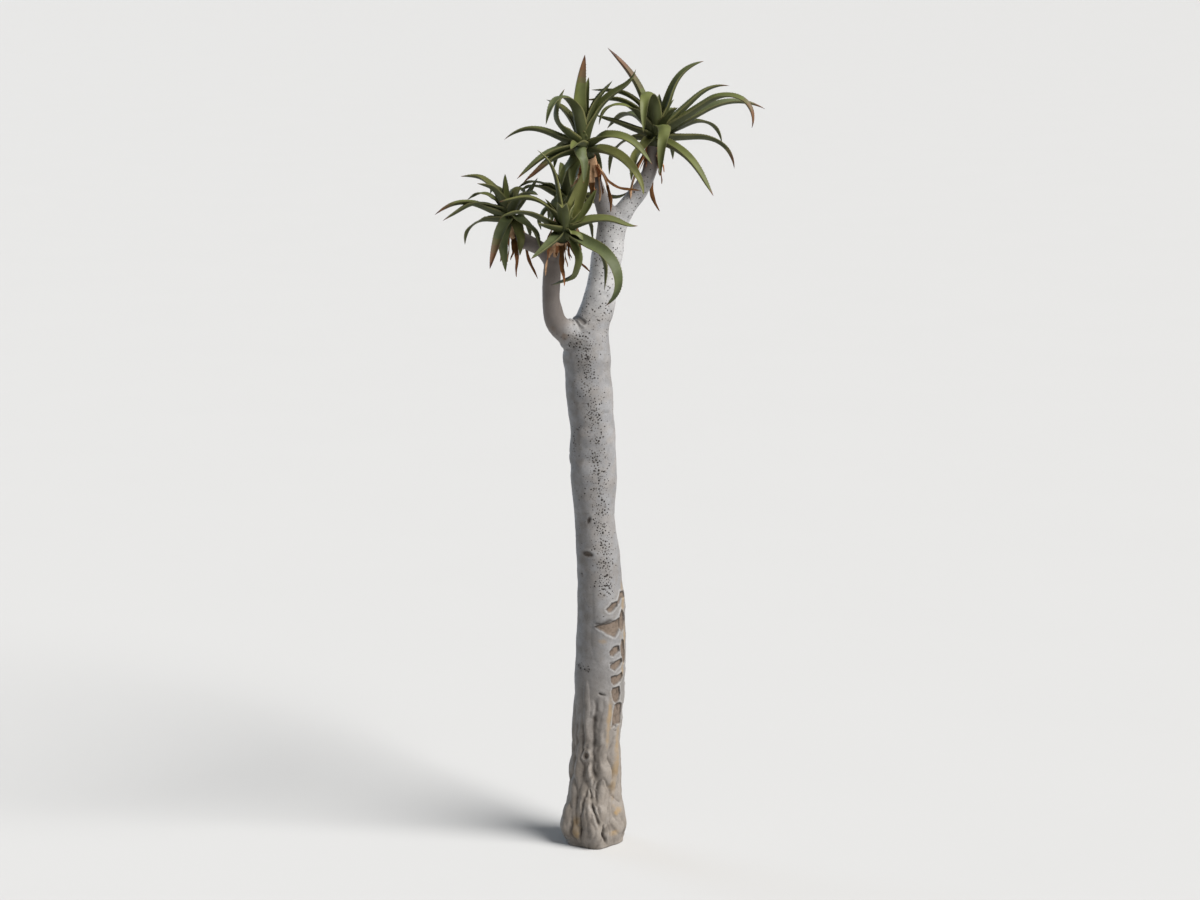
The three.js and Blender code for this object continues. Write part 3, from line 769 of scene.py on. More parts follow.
def bark_field(step):
    """Distance to the bare tree on a grid, and the grid's lowest corner."""
    pads = {name: line.thick + LIMB_PAD for name, line in LINES.items()}
    low = np.min([line.points.min(axis=0) - pads[name] for name, line in LINES.items()], axis=0)
    high = np.max([line.points.max(axis=0) + pads[name] for name, line in LINES.items()], axis=0)
    low = np.minimum(low, (-TRUNK_REACH, -TRUNK_REACH, 0))
    high = np.maximum(high, (TRUNK_REACH, TRUNK_REACH, 0))
    low[2] = -2 * step
    shape = np.ceil((high - low) / step).astype(int) + 1
    field = np.full(shape, FAR, np.float32)

    def spread(lowest, highest, distance, blend):
        first = np.clip(np.floor((lowest - low) / step).astype(int), 0, shape)
        last = np.clip(np.ceil((highest - low) / step).astype(int), 0, shape)
        window = tuple(slice(a, b) for a, b in zip(first, last))
        axes = [low[k] + step * np.arange(first[k], last[k]) for k in range(3)]
        points = np.stack(np.meshgrid(*axes, indexing="ij"), axis=-1).reshape(-1, 3)
        value = np.minimum(distance(points), FAR).reshape(field[window].shape)
        field[window] = smooth_union(field[window], value, blend)

    reach = np.array([TRUNK_REACH, TRUNK_REACH, 0])
    top = np.array([0, 0, TRUNK_STATIONS[-1, 0] + TOP_PAD])
    spread(np.array([0, 0, low[2]]) - reach, top + reach, trunk_distance, 1)
    for name, line in LINES.items():
        pad = pads[name]
        lowest, highest = line.points.min(axis=0) - pad, line.points.max(axis=0) + pad
        spread(lowest, highest, lambda points: line.distance(points)[0], FORK_BLEND[name])
    heights = low[2] + step * np.arange(shape[2])
    return np.maximum(field, -heights.astype(np.float32)), low


def skin_of(field, low, step):
    """The surface where a field is zero: one point in each crossed cell, joined across crossed edges."""
    inside = field < 0
    cells = tuple(n - 1 for n in field.shape)
    filled = sum(
        inside[tuple(slice(c, c + n) for c, n in zip(corner, cells))].astype(np.int8)
        for corner in itertools.product((0, 1), repeat=3)
    )
    crossed = np.argwhere((filled > 0) & (filled < 8))
    number = np.full(cells, -1, np.int32)
    number[tuple(crossed.T)] = np.arange(len(crossed))
    total = np.zeros((len(crossed), 3))
    hits = np.zeros(len(crossed))
    for axis in range(3):
        along = np.eye(3, dtype=int)[axis]
        for offset in itertools.product((0, 1), repeat=2):
            corner = np.insert(offset, axis, 0)
            first = field[tuple((crossed + corner).T)]
            second = field[tuple((crossed + corner + along).T)]
            cut = (first < 0) != (second < 0)
            share = np.where(cut, first / np.where(cut, first - second, 1), 0)
            total += np.where(cut[:, None], corner + share[:, None] * along, 0)
            hits += cut
    points = low + step * (crossed + total / hits[:, None])
    quads = []
    for axis in range(3):
        along = np.eye(3, dtype=int)[axis]
        ends = tuple(slice(0, n - a) for n, a in zip(field.shape, along))
        starts = tuple(slice(a, n) for n, a in zip(field.shape, along))
        edges = np.argwhere(inside[ends] != inside[starts])
        one, two = np.eye(3, dtype=int)[(axis + 1) % 3], np.eye(3, dtype=int)[(axis + 2) % 3]
        ring = [number[tuple((edges - shift).T)] for shift in (0 * one, one, one + two, two)]
        quad = np.stack(ring, axis=1)
        outward = inside[tuple(edges.T)]
        quads.append(np.where(outward[:, None], quad, quad[:, ::-1]))
    return points, np.vstack(quads)


def skin_normals(points, quads):
    """Outward directions at the skin's points."""
    face = np.cross(points[quads[:, 2]] - points[quads[:, 0]], points[quads[:, 3]] - points[quads[:, 1]])
    normal = np.zeros_like(points)
    for k in range(4):
        for axis in range(3):
            normal[:, axis] += np.bincount(quads[:, k], face[:, axis], len(points))
    return normal / np.linalg.norm(normal, axis=1)[:, None]


def neighbour_middles(points, quads):
    """The middle of each point's neighbours."""
    pairs = np.vstack([quads[:, [k, (k + 1) % 4]] for k in range(4)])
    pairs = np.vstack([pairs, pairs[:, ::-1]])
    shared = np.bincount(pairs[:, 0], minlength=len(points))
    sums = [np.bincount(pairs[:, 0], points[pairs[:, 1], k], len(points)) for k in range(3)]
    return np.stack(sums, axis=1) / shared[:, None]


def relaxed(points, quads, rounds):
    """Points drawn towards the middle of their neighbours, to take the grid's steps out of the skin."""
    for _ in range(rounds):
        points = (points + neighbour_middles(points, quads)) / 2
    return points


def mark_share(angle, height, radius, row):
    """How far out points on the trunk are from a slanted oval mark's middle, where 1 is its edge."""
    at_angle, at_height, half_length, half_breadth, tilt, taper = row
    across = np.radians(turned(angle - at_angle)) * radius
    up = height - at_height
    cos, sin = math.cos(math.radians(tilt)), math.sin(math.radians(tilt))
    along = (across * cos + up * sin) / half_length
    aside = (up * cos - across * sin) / (half_breadth * np.clip(1 + taper * along, *TAPER_LIMITS))
    return np.hypot(along, aside)


def line_distance(angle, height, radius, places):
    """How far points on the trunk are from a line through places of angle and height, and along it."""
    best = np.full(len(angle), np.inf)
    along = np.zeros(len(angle))
    for i, ((start_angle, start), (end_angle, end)) in enumerate(zip(places, places[1:])):
        across = np.radians(turned(angle - start_angle)) * radius
        up = height - start
        run = np.radians(end_angle - start_angle) * radius
        t = np.clip((across * run + up * (end - start)) / (run**2 + (end - start) ** 2), 0, 1)
        gap = np.hypot(across - t * run, up - t * (end - start))
        along = np.where(gap < best, (i + t) / (len(places) - 1), along)
        best = np.minimum(best, gap)
    return best, along


def patch_distance(angle, height, radius, corners):
    """How far points on the trunk are outside a patch with corners of angle and height."""
    ring = (*corners, corners[0])
    inside = np.zeros(len(angle), bool)
    for (start_angle, start), (end_angle, end) in zip(ring, ring[1:]):
        if start != end:
            at = start_angle + (height - start) / (end - start) * (end_angle - start_angle)
            inside ^= ((height >= start) != (height >= end)) & (turned(angle - at) < 0)
    inside &= np.abs(turned(angle - corners[0][0])) < 90
    gap, _ = line_distance(angle, height, radius, ring)
    return np.where(inside, -gap, gap)


def cavity(points, quads, normals, step):
    """How hollow the skin is at each point, as a share of the mesh's step."""
    middles = neighbour_middles(points, quads)
    return ((middles - points) * normals).sum(axis=1) / step


class BarkMarks:
    """What the bare skin gains: how far the bark stands out, and how much of each colour it has."""

    COLOURS = ("scar", "groove", "stain", "grime", "warmth", "shade", "chalk", "dots")
    SEED = 11

    def __init__(self, points, normals):
        self.points, self.normals = points, normals
        self.height = points[:, 2]
        self.lumps = Lumps(self.SEED)
        _, self.radius = trunk_at(self.height)
        self.angle = np.degrees(trunk_angle(points))
        self.stems = {name: line.distance(points) for name, line in LINES.items()}
        self.trunk = np.minimum(trunk_distance(points), self.stems["main"][0])
        self.bough = np.min([gap for name, (gap, _) in self.stems.items() if name != "main"], axis=0)
        self.on_trunk = smoothstep(self.bough - self.trunk, *TRUNK_SEAM) * below(self.height, *TRUNK_TOP)
        self.ragged = self.rough(13, 9, 2)
        self.patchy = 0.5 + 0.5 * np.clip(self.rough(22, 30, 3) * 1.6, -1, 1)
        self.relief = np.zeros(len(points))
        self.colour = {name: np.zeros(len(points)) for name in self.COLOURS}

    def tint(self, name, amount):
        """Lays a colour on, where it isn't laid on thicker yet."""
        np.maximum(self.colour[name], amount, out=self.colour[name])

    def wander(self, reach, size, place):
        """Noise up to reach either way in lumps of a size, read from its own place in the noise."""
        return reach * self.lumps.at(self.points / size + place)

    def rough(self, size, place, octaves):
        """Such noise in lumps on lumps, each half as large as the last."""
        return self.lumps.rough(self.points / size + place, octaves)

    def swell(self):
        """Soft swellings all over, and the run lobes and folds of the root flare, with painted shade in the
        folds' valleys.
        """
        self.relief += sum(self.wander(*swelling) for swelling in SWELLINGS)
        height = self.height + self.wander(9, 40, 60)
        angle = self.angle + self.wander(4, 35, 80)
        bulge = np.zeros(len(height))
        for *place, rise in LOBES:
            share = mark_share(angle, height, self.radius, place)
            bulge = np.maximum(bulge, rise * np.maximum(0, 1 - share**2) ** 0.7)
        self.relief += self.on_trunk * (bulge - FLOW_DEPTH * below(self.height, *FLOW_TOP))
        warped = self.points + np.stack([self.wander(16, 60, place) for place in (100, 120, 140)], axis=1)
        folded = self.on_trunk * below(self.height, *FOLD_TOP)
        for share, size in FOLD_SHARES:
            run = np.abs(self.lumps.at(warped / (FOLD_CELL * size) + 40))
            self.relief += folded * share * FOLD_DEPTH * (run**0.7 - 0.4)
            # Painted shade: the bark is darkened along the bottoms of the folds.
            self.tint("groove", 0.45 * share * folded * bell(run, 0.09) * self.patchy)
        self.relief += folded * 0.8 * self.rough(FOLD_GRAIN, 20, 2)
        for at_angle, at_height, half_height, half_breadth, rise in BUMPS:
            across = np.radians(turned(self.angle - at_angle)) * self.radius / half_breadth
            up = (self.height - at_height) / half_height
            self.relief += self.on_trunk * rise * np.exp(-(across**2) - up**2)
        for *place, reach, rise in BOUGH_SWELLS:
            self.relief += rise * bell(np.linalg.norm(self.points - place, axis=1), reach)

    def fold_forks(self):
        """Pinched bark above and under the left bough's elbow, with painted shade in its crease, and faint
        folds at the other forks.
        """
        gap, along = self.stems["left"]
        offset = self.points - LINES["left"].at(along)
        upward = offset[:, 2] / np.linalg.norm(offset, axis=1)
        seam = np.abs(gap - self.trunk)
        near = smoothstep(self.height, *CROTCH_FOOT) * below(self.height, *CROTCH_TOP)
        pinch = near * (smoothstep(upward, 0.3, 0.8) + 0.8 * smoothstep(-upward, 0.35, 0.85))
        crease = np.maximum(pinch * bell(seam, 5), bell(self.fold_gap(), 4))
        self.relief += pinch * 2.5 * bell(seam - 13, 7) - CREASE_DEPTH * crease
        # Painted shade: the crease is darkened.
        self.tint("groove", 0.6 * crease)
        gaps = np.sort(np.stack([self.trunk, *(gap for gap, _ in self.stems.values())]), axis=0)
        self.relief -= 0.8 * smoothstep(self.height, *UPPER_FORKS) * bell(gaps[1] - gaps[0], 4)

    def fold_gap(self):
        """How far points are from the crease above the elbow."""
        fold = np.array(ELBOW_FOLD, float)
        gaps = []
        for start, end in zip(fold, fold[1:]):
            run = end - start
            t = np.clip((self.points - start) @ run / (run @ run), 0, 1)
            gaps.append(np.linalg.norm(self.points - start - t[:, None] * run, axis=1))
        return np.maximum(np.min(gaps, axis=0) - 4, 0)

    def peel(self):
        """Sunken patches of bare wood under a raised, pale lip of bark, with a painted shadow along their
        upper edges.
        """
        flecks = 0.4 * smoothstep(self.rough(8, 90, 2), 0.1, 0.6)
        for corners in PEELS:
            gap = patch_distance(self.angle, self.height, self.radius, corners) + 1.8 * self.ragged
            inside = self.on_trunk * below(gap, *PEEL_EDGE)
            self.relief += self.on_trunk * PEEL_LIP * bell(gap - 4, 3.5) - PEEL_DEPTH * inside
            self.tint("scar", inside)
            self.tint("groove", flecks * inside)
            self.tint("chalk", 0.6 * self.patchy * self.on_trunk * bell(gap - 5, 3))
            # Painted shadow: each patch's outline is darker along its upper edge, under the overhanging bark,
            # than along its lower edge.
            shaded = 0.35 + 0.65 * smoothstep(self.height - np.mean(corners, axis=0)[1], -12, 8)
            self.tint("groove", self.on_trunk * shaded * bell(gap, 2.3))

    def crack(self):
        """Wandering cracks, and sunken knots with a lip round them, both darkened inside as painted shade."""
        angle = self.angle + self.wander(3, 24, 200) + self.wander(1.5, 9, 210)
        height = self.height + self.wander(4, 24, 220)
        uneven = 0.8 + self.wander(0.4, 20, 230)
        for width, depth, darkness, places in CRACKS:
            gap, along = line_distance(angle, height, self.radius, places)
            open_share = self.on_trunk * uneven * smoothstep(0.5 - np.abs(along - 0.5), -0.06, 0.16)
            self.relief -= open_share * depth * bell(gap, width * uneven)
            # Painted shade: each crack is darkened along its middle, as much as its darkness says.
            self.tint("groove", darkness * open_share * bell(gap, 0.75 * width * uneven))
        for *place, depth, lip in KNOTS:
            share = mark_share(self.angle, self.height, self.radius, (*place, 0))
            gap = (share - 1) * place[3] + 0.6 * self.ragged
            inside = self.on_trunk * below(gap, *KNOT_EDGE)
            self.relief += self.on_trunk * lip * bell(gap - 5, 5) - depth * inside
            self.tint("scar", 0.7 * inside)
            # Painted shade: a dark ring at each knot's edge and a darker hollow inside it.
            self.tint("groove", self.on_trunk * 0.2 * depth * bell(gap, 2))
            self.tint("groove", 0.1 * depth * inside)

    def colour_patches(self):
        """Stains and grime, painted shade on the trunk's left side, warm low bark, the main bough's bloom, a
        painted highlight on the elbow and painted shade on the other boughs.
        """
        self.tint("grime", 0.25 * smoothstep(self.rough(45, 50, 3), 0.1, 0.9))
        for name, rows in (("stain", STAINS), ("grime", GRIME_AND_SHADE)):
            for *place, strength in rows:
                share = mark_share(self.angle, self.height, self.radius, (*place, 0))
                gap = (share - 1) * place[3] + 4 * self.ragged
                patchy = 0.4 + 0.6 * self.patchy
                self.tint(name, self.on_trunk * strength * below(gap, *PATCH_EDGE) * patchy)
                if name == "grime" and strength >= DOTTED_GRIME:
                    self.tint("dots", self.on_trunk * strength * below(gap, *PATCH_DOTS_EDGE))
        for *place, radius, name in BOUGH_MARKS:
            gap = np.linalg.norm(self.points - place, axis=1) - radius + 0.3 * radius * self.ragged
            self.tint(name, 0.85 * below(gap, *BOUGH_MARK_EDGE) * (0.45 + 0.55 * self.patchy))
            if name == "grime":
                self.tint("dots", 0.8 * below(gap, *BOUGH_DOTS_EDGE))
        self.tint("warmth", below(self.height, *WARM_TOP) * (0.75 + 0.25 * self.patchy))
        self.tint("grime", 0.42 * below(self.height, *SOOTY_TOP) * (0.6 + 0.4 * self.patchy))
        self.tint("warmth", 0.3 * self.patchy)
        others = np.min([self.stems[name][0] for name in LINES if name not in ("main", "right")], axis=0)
        chalky = 0.8 * smoothstep(self.height, *CHALK_FOOT) * smoothstep(others - self.trunk, *CHALK_SEAM)
        right_gap, right_along = self.stems["right"]
        lower = smoothstep(others - right_gap, *CHALK_SEAM) * below(right_along, *CHALK_ON_RIGHT)
        self.tint("chalk", np.maximum(chalky, lower) * (0.6 + 0.4 * self.patchy))
        left_gap, left_along = self.stems["left"]
        elbow = smoothstep(self.trunk - left_gap, *ELBOW_SEAM) * below(left_along, *ELBOW_END)
        # Painted highlight: the elbow's faces that turn up and to the right, towards the key light, are paled
        # with chalk.
        lit = smoothstep(self.normals[:, 2] + self.normals[:, 0], -0.1, 0.7)
        self.tint("chalk", 0.25 * elbow * lit)
        # Painted shade: the boughs other than the main one darken towards the bough colour, most on the left
        # and at their tips under the rosettes.
        for name, share in BOUGH_SHADE.items():
            gap, along = self.stems[name]
            owned = smoothstep(self.trunk - gap, *SHADE_SEAM)
            tip = smoothstep(along - LINES[name].length, *TIP_SHADE)
            risen = smoothstep(along, *LEFT_SHADE_START) if name == "left" else 1
            self.tint("shade", owned * risen * (share + (1 - share) * tip))

    def scatter(self):
        """Where lichen dots grow: thickly in a band that climbs the trunk, thinly elsewhere."""
        cluster = 0.7 + 0.3 * smoothstep(self.rough(24, 70, 2), -0.35, 0.35)
        band = np.interp(self.height, *np.array(DOT_BAND).T)
        share = bell(turned(self.angle - band), DOT_BAND_WIDTH)
        self.tint("dots", self.on_trunk * smoothstep(self.height, *DOTS_FOOT) * share * cluster)
        self.tint("dots", self.on_trunk * smoothstep(self.height, *STRAYS_FOOT) * DOT_STRAYS * cluster)
        facing = smoothstep(-self.normals[:, 1], -0.5, 0.7) * cluster
        on_boughs = smoothstep(self.height, *BOUGH_DOTS_FOOT) * BOUGH_DOTS
        self.tint("dots", on_boughs * facing * (1 - self.colour["shade"]))
        self.tint("grime", 0.35 * self.colour["dots"])
        self.colour["dots"] *= 1 - np.clip(2 * self.colour["groove"], 0, 1)

    def finish(self):
        """The relief and the colours once every mark is made."""
        for step in (self.swell, self.fold_forks, self.peel, self.crack, self.colour_patches, self.scatter):
            step()
        return self.relief * smoothstep(self.height, *GROUND_FADE), self.colour


def capped(faces, points):
    """Faces with each open ring closed by a fan about its middle, and the points with those middles."""
    edges = np.vstack([faces[:, [k, (k + 1) % 4]] for k in range(4)])
    keys = {(a, b) for a, b in edges.tolist()}
    after = {b: a for a, b in keys if (b, a) not in keys}
    fans = []
    while after:
        first = next(iter(after))
        ring = [first]
        while after[ring[-1]] != first:
            ring.append(after[ring[-1]])
        for corner in ring:
            del after[corner]
        middle = len(points)
        points = np.vstack([points, points[ring].mean(axis=0)])
        fans.extend([a, b, middle] for a, b in zip(ring, [*ring[1:], ring[0]]))
    return faces.tolist() + fans, points


def bark_pieces(step):
    """The trunk's and the boughs' skins: points, faces, normals and colour amounts for each."""
    field, low = bark_field(step)
    points, quads = skin_of(field, low, step)
    points = relaxed(points, quads, 2)
    normals = skin_normals(points, quads)
    relief, values = BarkMarks(points, normals).finish()
    points = points + normals * relief[:, None]
    points[:, 2] = np.maximum(points[:, 2], 0)
    normals = skin_normals(points, quads)
    hollow = cavity(relaxed(points, quads, 1), quads, normals, step)
    # Painted shade: the hollower the skin, the darker it is painted.
    values["groove"] = np.maximum(values["groove"], HOLLOW_SHADE * smoothstep(hollow, *HOLLOWS))
    values["worn"] = CREST_WEAR * smoothstep(-hollow, *CRESTS)
    above = points[quads, 2].mean(axis=1) > SPLIT_HEIGHT
    made = []
    for chosen in (quads[~above], quads[above]):
        used, local = np.unique(chosen, return_inverse=True)
        faces, all_points = capped(local.reshape(-1, 4), points[used])
        extra = len(all_points) - len(used)
        all_normals = np.vstack([normals[used], np.tile((0.0, 0.0, 1.0), (extra, 1))])
        amounts = {name: np.concatenate([value[used], np.zeros(extra)]) for name, value in values.items()}
        made.append((all_points, faces, all_normals, amounts))
    return made


# Leaves

SECTION = np.array([-1, -0.93, -0.76, -0.52, -0.26, 0, 0.26, 0.52, 0.76, 0.93, 1])  # points across a leaf
ACROSS = len(SECTION) - 1
ALONG = 46
EDGE = 1.3  # thickness of a leaf's margin
CHANNEL_POWER = 1.7  # how late a blade's upper side rises towards its margins
BELLY_POWER = 0.8  # how full its underside is
BLADE_END = 0.996  # the blade is cut here, just short of a point
LEAF_SWAY = 7  # how far a blade may wander to either side of its middle line
SWAY_WAVES = 4.2
LEAF_TWIST = 9  # degrees, at most, from its base to its tip
SLIM_HALF = 0.2  # a blade thins where its half is less than this share of its width
SLIM_POWER = 0.8
BASE_CHANNEL = (0.35, 0.3)  # how much deeper the channel is at a leaf's base, and over what share of it
FOLD_ROUNDING = 1.9  # how far a sharp bend turns the channel inside out
FOLD_BENDS = (0.1, 0.3)
CLASP_END = 0.1  # share of a leaf that has its base's colour
TOOTHED = slice(6, -5)  # stations of a leaf whose margins have teeth
TOOTH_TILT = 0.35
HEART_LEAVES = 6
HEART_SLIMNESS = 0.82
HEART_TURN = 60  # from a rosette's start to its first young leaf
HEART_OPENING = 0.6  # how much shorter the young leaves that face the viewer are
HEART_LENGTHS = (0.5, 0.22)  # shares of its reach: the outermost leaf's, and how much less the inmost has
HEART_RISES = (62, 22)  # degrees: the outermost leaf's, and how much more the inmost has
HEART_DROOP = 18
HEART_BEND = 0.6
CORE_SIDES = 16
BUD_SLIMNESS = 0.55  # how much more the bud tapers than its solid
TINTS = ("blue_green", "olive", "yellow_green")
TINT_SHARES = (0.28, 0.47, 0.25)
SCORCHED = (0.015, 0.07)  # share of a leaf whose tip has no scorch given in its rosette
RUST_BANDS = (("bronze", 1.0), ("amber", 0.78), ("rust", 0.55), ("brown", 0.25))
# Some slots are painted shade: the heart green, the underside green and the darkened clasp green.
LEAF_SLOTS = (*TINTS, "deep", "underside", "bronze", "amber", "rust", "brown", "margin", "clasp")


def half_width(width, t):
    """Half a blade's breadth along it: narrow where it clasps, full past its middle, then tapering."""
    clasp = 1 - CLASP * np.maximum(0, 1 - t / CLASP_LENGTH)
    return width / 2 * clasp * np.maximum(0, 1 - t) ** BLADE_TAPER * (BLADE_START + BLADE_SWELL * t)


def blade_grid(spine, side, face, half, raised, thick, edge):
    """Rows of points round a channelled blade: its upper side out and its underside back."""
    u = SECTION
    upper = raised[:, None] * np.abs(u) ** CHANNEL_POWER
    depth = (raised + thick - edge)[:, None]
    lower = (raised - edge)[:, None] - depth * (1 - u**2) ** BELLY_POWER
    across = np.concatenate([u, u[::-1]]) * half[:, None]
    height = np.concatenate([upper, lower[:, ::-1]], axis=1)
    return spine[:, None] + across[..., None] * side[:, None] + height[..., None] * face[:, None]


def blade_faces(rows, ring):
    """Quads round and along a blade of rows of points, with both ends closed."""
    faces = []
    for i in range(rows - 1):
        for k in range(ring):
            after = (k + 1) % ring
            faces.append([i * ring + k, i * ring + after, (i + 1) * ring + after, (i + 1) * ring + k])
    faces.append(list(range(ring))[::-1])
    faces.append([(rows - 1) * ring + k for k in range(ring)])
    return faces


def add_leaf(pile, margins, root, row, width, tint, rust, draw):
    """One green leaf; its margins are kept for the teeth."""
    t = np.linspace(0, 1, ALONG + 1)
    t[-1] = BLADE_END
    spine, side, face = leaf_spine(root, row, ALONG)
    lean = draw.uniform(-1, 1)
    side, face = twisted(side, face, np.radians(LEAF_TWIST * lean) * t)
    spine = spine + (LEAF_SWAY * lean * np.sin(SWAY_WAVES * t) * t)[:, None] * side
    half = half_width(width, t)
    slim = np.minimum(1, half / (SLIM_HALF * width)) ** SLIM_POWER
    thick = LEAF_THICKNESS * width * (1 - TIP_THINNING * t) * slim
    deeper, over = BASE_CHANNEL
    raised = 2 * CHANNEL_DEPTH * half * (1 + deeper * np.maximum(0, 1 - t / over))
    ahead = np.gradient(spine, axis=0)
    ahead /= np.linalg.norm(ahead, axis=1)[:, None]
    turning = np.linalg.norm(np.gradient(ahead, axis=0), axis=1) * ALONG / row[3]
    raised *= 1 - FOLD_ROUNDING * smoothstep(turning * half, *FOLD_BENDS)
    wave = draw.uniform(0.4, 1.2) * np.sin(t * draw.uniform(7, 12) + draw.uniform(0, 6)) * t
    spine = spine + wave[:, None] * face
    grid = blade_grid(spine, side, face, half, raised, thick, np.minimum(EDGE, 0.4 * thick))
    ring = grid.shape[1]
    faces = blade_faces(len(t), ring)
    slots = []
    for i, k in itertools.product(range(ALONG), range(ring)):
        at_margin = k in (0, ACROSS - 1, ACROSS, ACROSS + 1, ring - 2, ring - 1)
        # Painted shade: faces on a leaf's underside take the darker underside green.
        name = "underside" if k > ACROSS else tint
        # Partly painted shade: the base of each leaf takes the darkened clasp green.
        if t[i] < CLASP_END:
            name = "clasp"
        elif at_margin:
            name = "margin"
        for band, share in RUST_BANDS:
            if t[i] > 1 - rust * share:
                name = band
        slots.append(LEAF_SLOTS.index(name))
    slots.extend([LEAF_SLOTS.index("clasp"), LEAF_SLOTS.index("brown")])
    across = np.concatenate([SECTION, SECTION[::-1]]) * half[:, None]
    along = np.repeat((t * row[3])[:, None], ring, axis=1)
    pile.add(grid.reshape(-1, 3), faces, slots, np.stack([across, along], axis=-1).reshape(-1, 2))
    for column, sign in ((0, -1), (ACROSS, 1)):
        margins.append((grid[TOOTHED, column], sign * side[TOOTHED] + TOOTH_TILT * face[TOOTHED]))


def add_core(pile, line):
    """The leafy stem past a bough's tip: a bud, hidden in its leaves."""
    ahead = line.ahead(line.length)
    across = np.cross(ahead, (0.3, 1, 0.1))
    across /= np.linalg.norm(across)
    out = np.cross(ahead, across)
    turn = np.linspace(0, 2 * math.pi, CORE_SIDES, endpoint=False)[:, None]
    rings = []
    for reach, level in CORE_PROFILE[1:-1]:
        middle = line.points[-1] + ahead * CORE_LENGTH * level
        slim = 1 - BUD_SLIMNESS * level
        rings.append(middle + line.thin * reach * slim * (np.cos(turn) * across + np.sin(turn) * out))
    grid = np.stack(rings)
    faces = blade_faces(len(grid), CORE_SIDES)
    points = grid.reshape(-1, 3)
    # Painted shade: the bud takes the dark heart green.
    pile.add(points, faces, [LEAF_SLOTS.index("deep")] * len(faces), np.zeros((len(points), 2)))


def heart_rows(rosette):
    """Short young leaves that stand round the bud."""
    for i in range(HEART_LEAVES):
        share = (i + 0.5) / HEART_LEAVES
        turn = rosette["start"] + HEART_TURN + GOLDEN_ANGLE * i
        open_front = 1 - HEART_OPENING * max(0, -math.sin(math.radians(turn)))
        length = rosette["reach"] * (HEART_LENGTHS[0] - HEART_LENGTHS[1] * share) * open_front
        rise = HEART_RISES[0] + HEART_RISES[1] * share
        yield (turn, rise, HEART_DROOP, length, HEART_BEND, 0, 0)


# Dry leaves

DRY_ACROSS = 6
DRY_ALONG = 26
DRY_THICKNESS = 1.1
DRY_NARROWING = 0.25  # how much narrower a strip looks where it is curled right up
DRY_EDGE = 0.55  # how much thinner its edges are
DRY_TWIST = 150  # degrees, at most
DRY_WIDTHS = (0.9, 1.4)  # shares of the solid's width
LITTER_RISES = (-88, -74)
LITTER_DROOPS = (-20, 10)
LITTER_LENGTHS = (35, 85)
LITTER_BEND = 0.5
LITTER_SWEEPS = (-40, 40)
LITTER_WIDTHS = (8, 18)
LITTER_TURN = 20  # how far it may stray from the golden angle
FLAKE_TURN = 30  # from a rosette's start to its first flake
FLAKE_LENGTHS = (40, 84)
FLAKE_WIDTHS = (20, 34)
DRY_SLOTS = ("dry_orange", "dry_tan", "dry_dark")


def add_ribbon(pile, spine, side, face, half, curl, slots_at):
    """A thin shrivelled strip along a line, curled across by a share of its width."""
    u = np.linspace(-1, 1, DRY_ACROSS + 1)
    height = (curl * half)[:, None] * u**2
    across = half[:, None] * u * (1 - DRY_NARROWING * np.abs(curl)[:, None])
    thin = DRY_THICKNESS * (1 - DRY_EDGE * np.abs(u))
    across = np.concatenate([across, across[:, ::-1]], axis=1)
    height = np.concatenate([height + thin / 2, (height - thin / 2)[:, ::-1]], axis=1)
    grid = spine[:, None] + across[..., None] * side[:, None] + height[..., None] * face[:, None]
    ring = grid.shape[1]
    faces = blade_faces(len(spine), ring)
    slots = [slots_at(i / (len(spine) - 1)) for i in range(len(spine) - 1) for _ in range(ring)]
    slots.extend([slots[0], slots[-1]])
    along = np.cumsum(np.concatenate([[0], np.linalg.norm(np.diff(spine, axis=0), axis=1)]))
    places = np.stack([across, np.repeat(along[:, None], ring, axis=1)], axis=-1)
    pile.add(grid.reshape(-1, 3), faces, slots, places.reshape(-1, 2))


def add_dry_leaf(pile, root, row, width, old, draw):
    """A hanging dead leaf, twisted and uneven, dark from end to end where it is old."""
    t = np.linspace(0, 1, DRY_ALONG + 1)
    spine, side, face = leaf_spine(root, row, DRY_ALONG)
    side, face = twisted(side, face, np.radians(draw.uniform(-DRY_TWIST, DRY_TWIST)) * t**1.3)
    sway = draw.uniform(2, 5) * np.sin(t * draw.uniform(5, 9) + draw.uniform(0, 6)) * t
    spine = spine + sway[:, None] * side
    uneven = 1 + 0.12 * np.sin(23 * t + draw.uniform(0, 6))
    half = width / 2 * (1 - t) ** 0.7 * (0.55 + 0.9 * t) * uneven + 0.8
    curl = draw.uniform(0.4, 1.1) * (0.6 + 0.4 * np.sin(t * draw.uniform(6, 11)))
    tones = draw.permutation(3)
    if old:
        tones = np.full(3, DRY_SLOTS.index("dry_dark"))
    change = draw.uniform(0.3, 0.7)
    add_ribbon(pile, spine, side, face, half, curl, lambda at: int(tones[0] if at < change else tones[1]))


def add_flake(pile, line, turn, length, width, draw):
    """A papery leaf base that still clasps the bough under its rosette."""
    t = np.linspace(0, 1, DRY_ALONG + 1)
    along = line.length + 6 - length * t
    middle = line.at(along)
    ahead = line.ahead(line.length - 20)
    out = heading(turn) - ahead * (heading(turn) @ ahead)
    out /= np.linalg.norm(out)
    lift = 2.5 + draw.uniform(2, 9) * t**2 + draw.uniform(0, 1.2) * np.sin(9 * t)
    spine = middle + out * (line.radius_at(along) + lift)[:, None]
    side = np.tile(np.cross(ahead, out), (len(t), 1))
    uneven = 1 + 0.1 * np.sin(17 * t + draw.uniform(0, 6))
    half = width / 2 * (1 - 0.75 * t**2) * uneven + 0.6
    curl = -0.55 * half / line.thin * (1 - 0.6 * t)
    tone = int(draw.choice([0, 1, 1]))
    add_ribbon(pile, spine, side, np.tile(out, (len(t), 1)), half, curl, lambda at: tone)


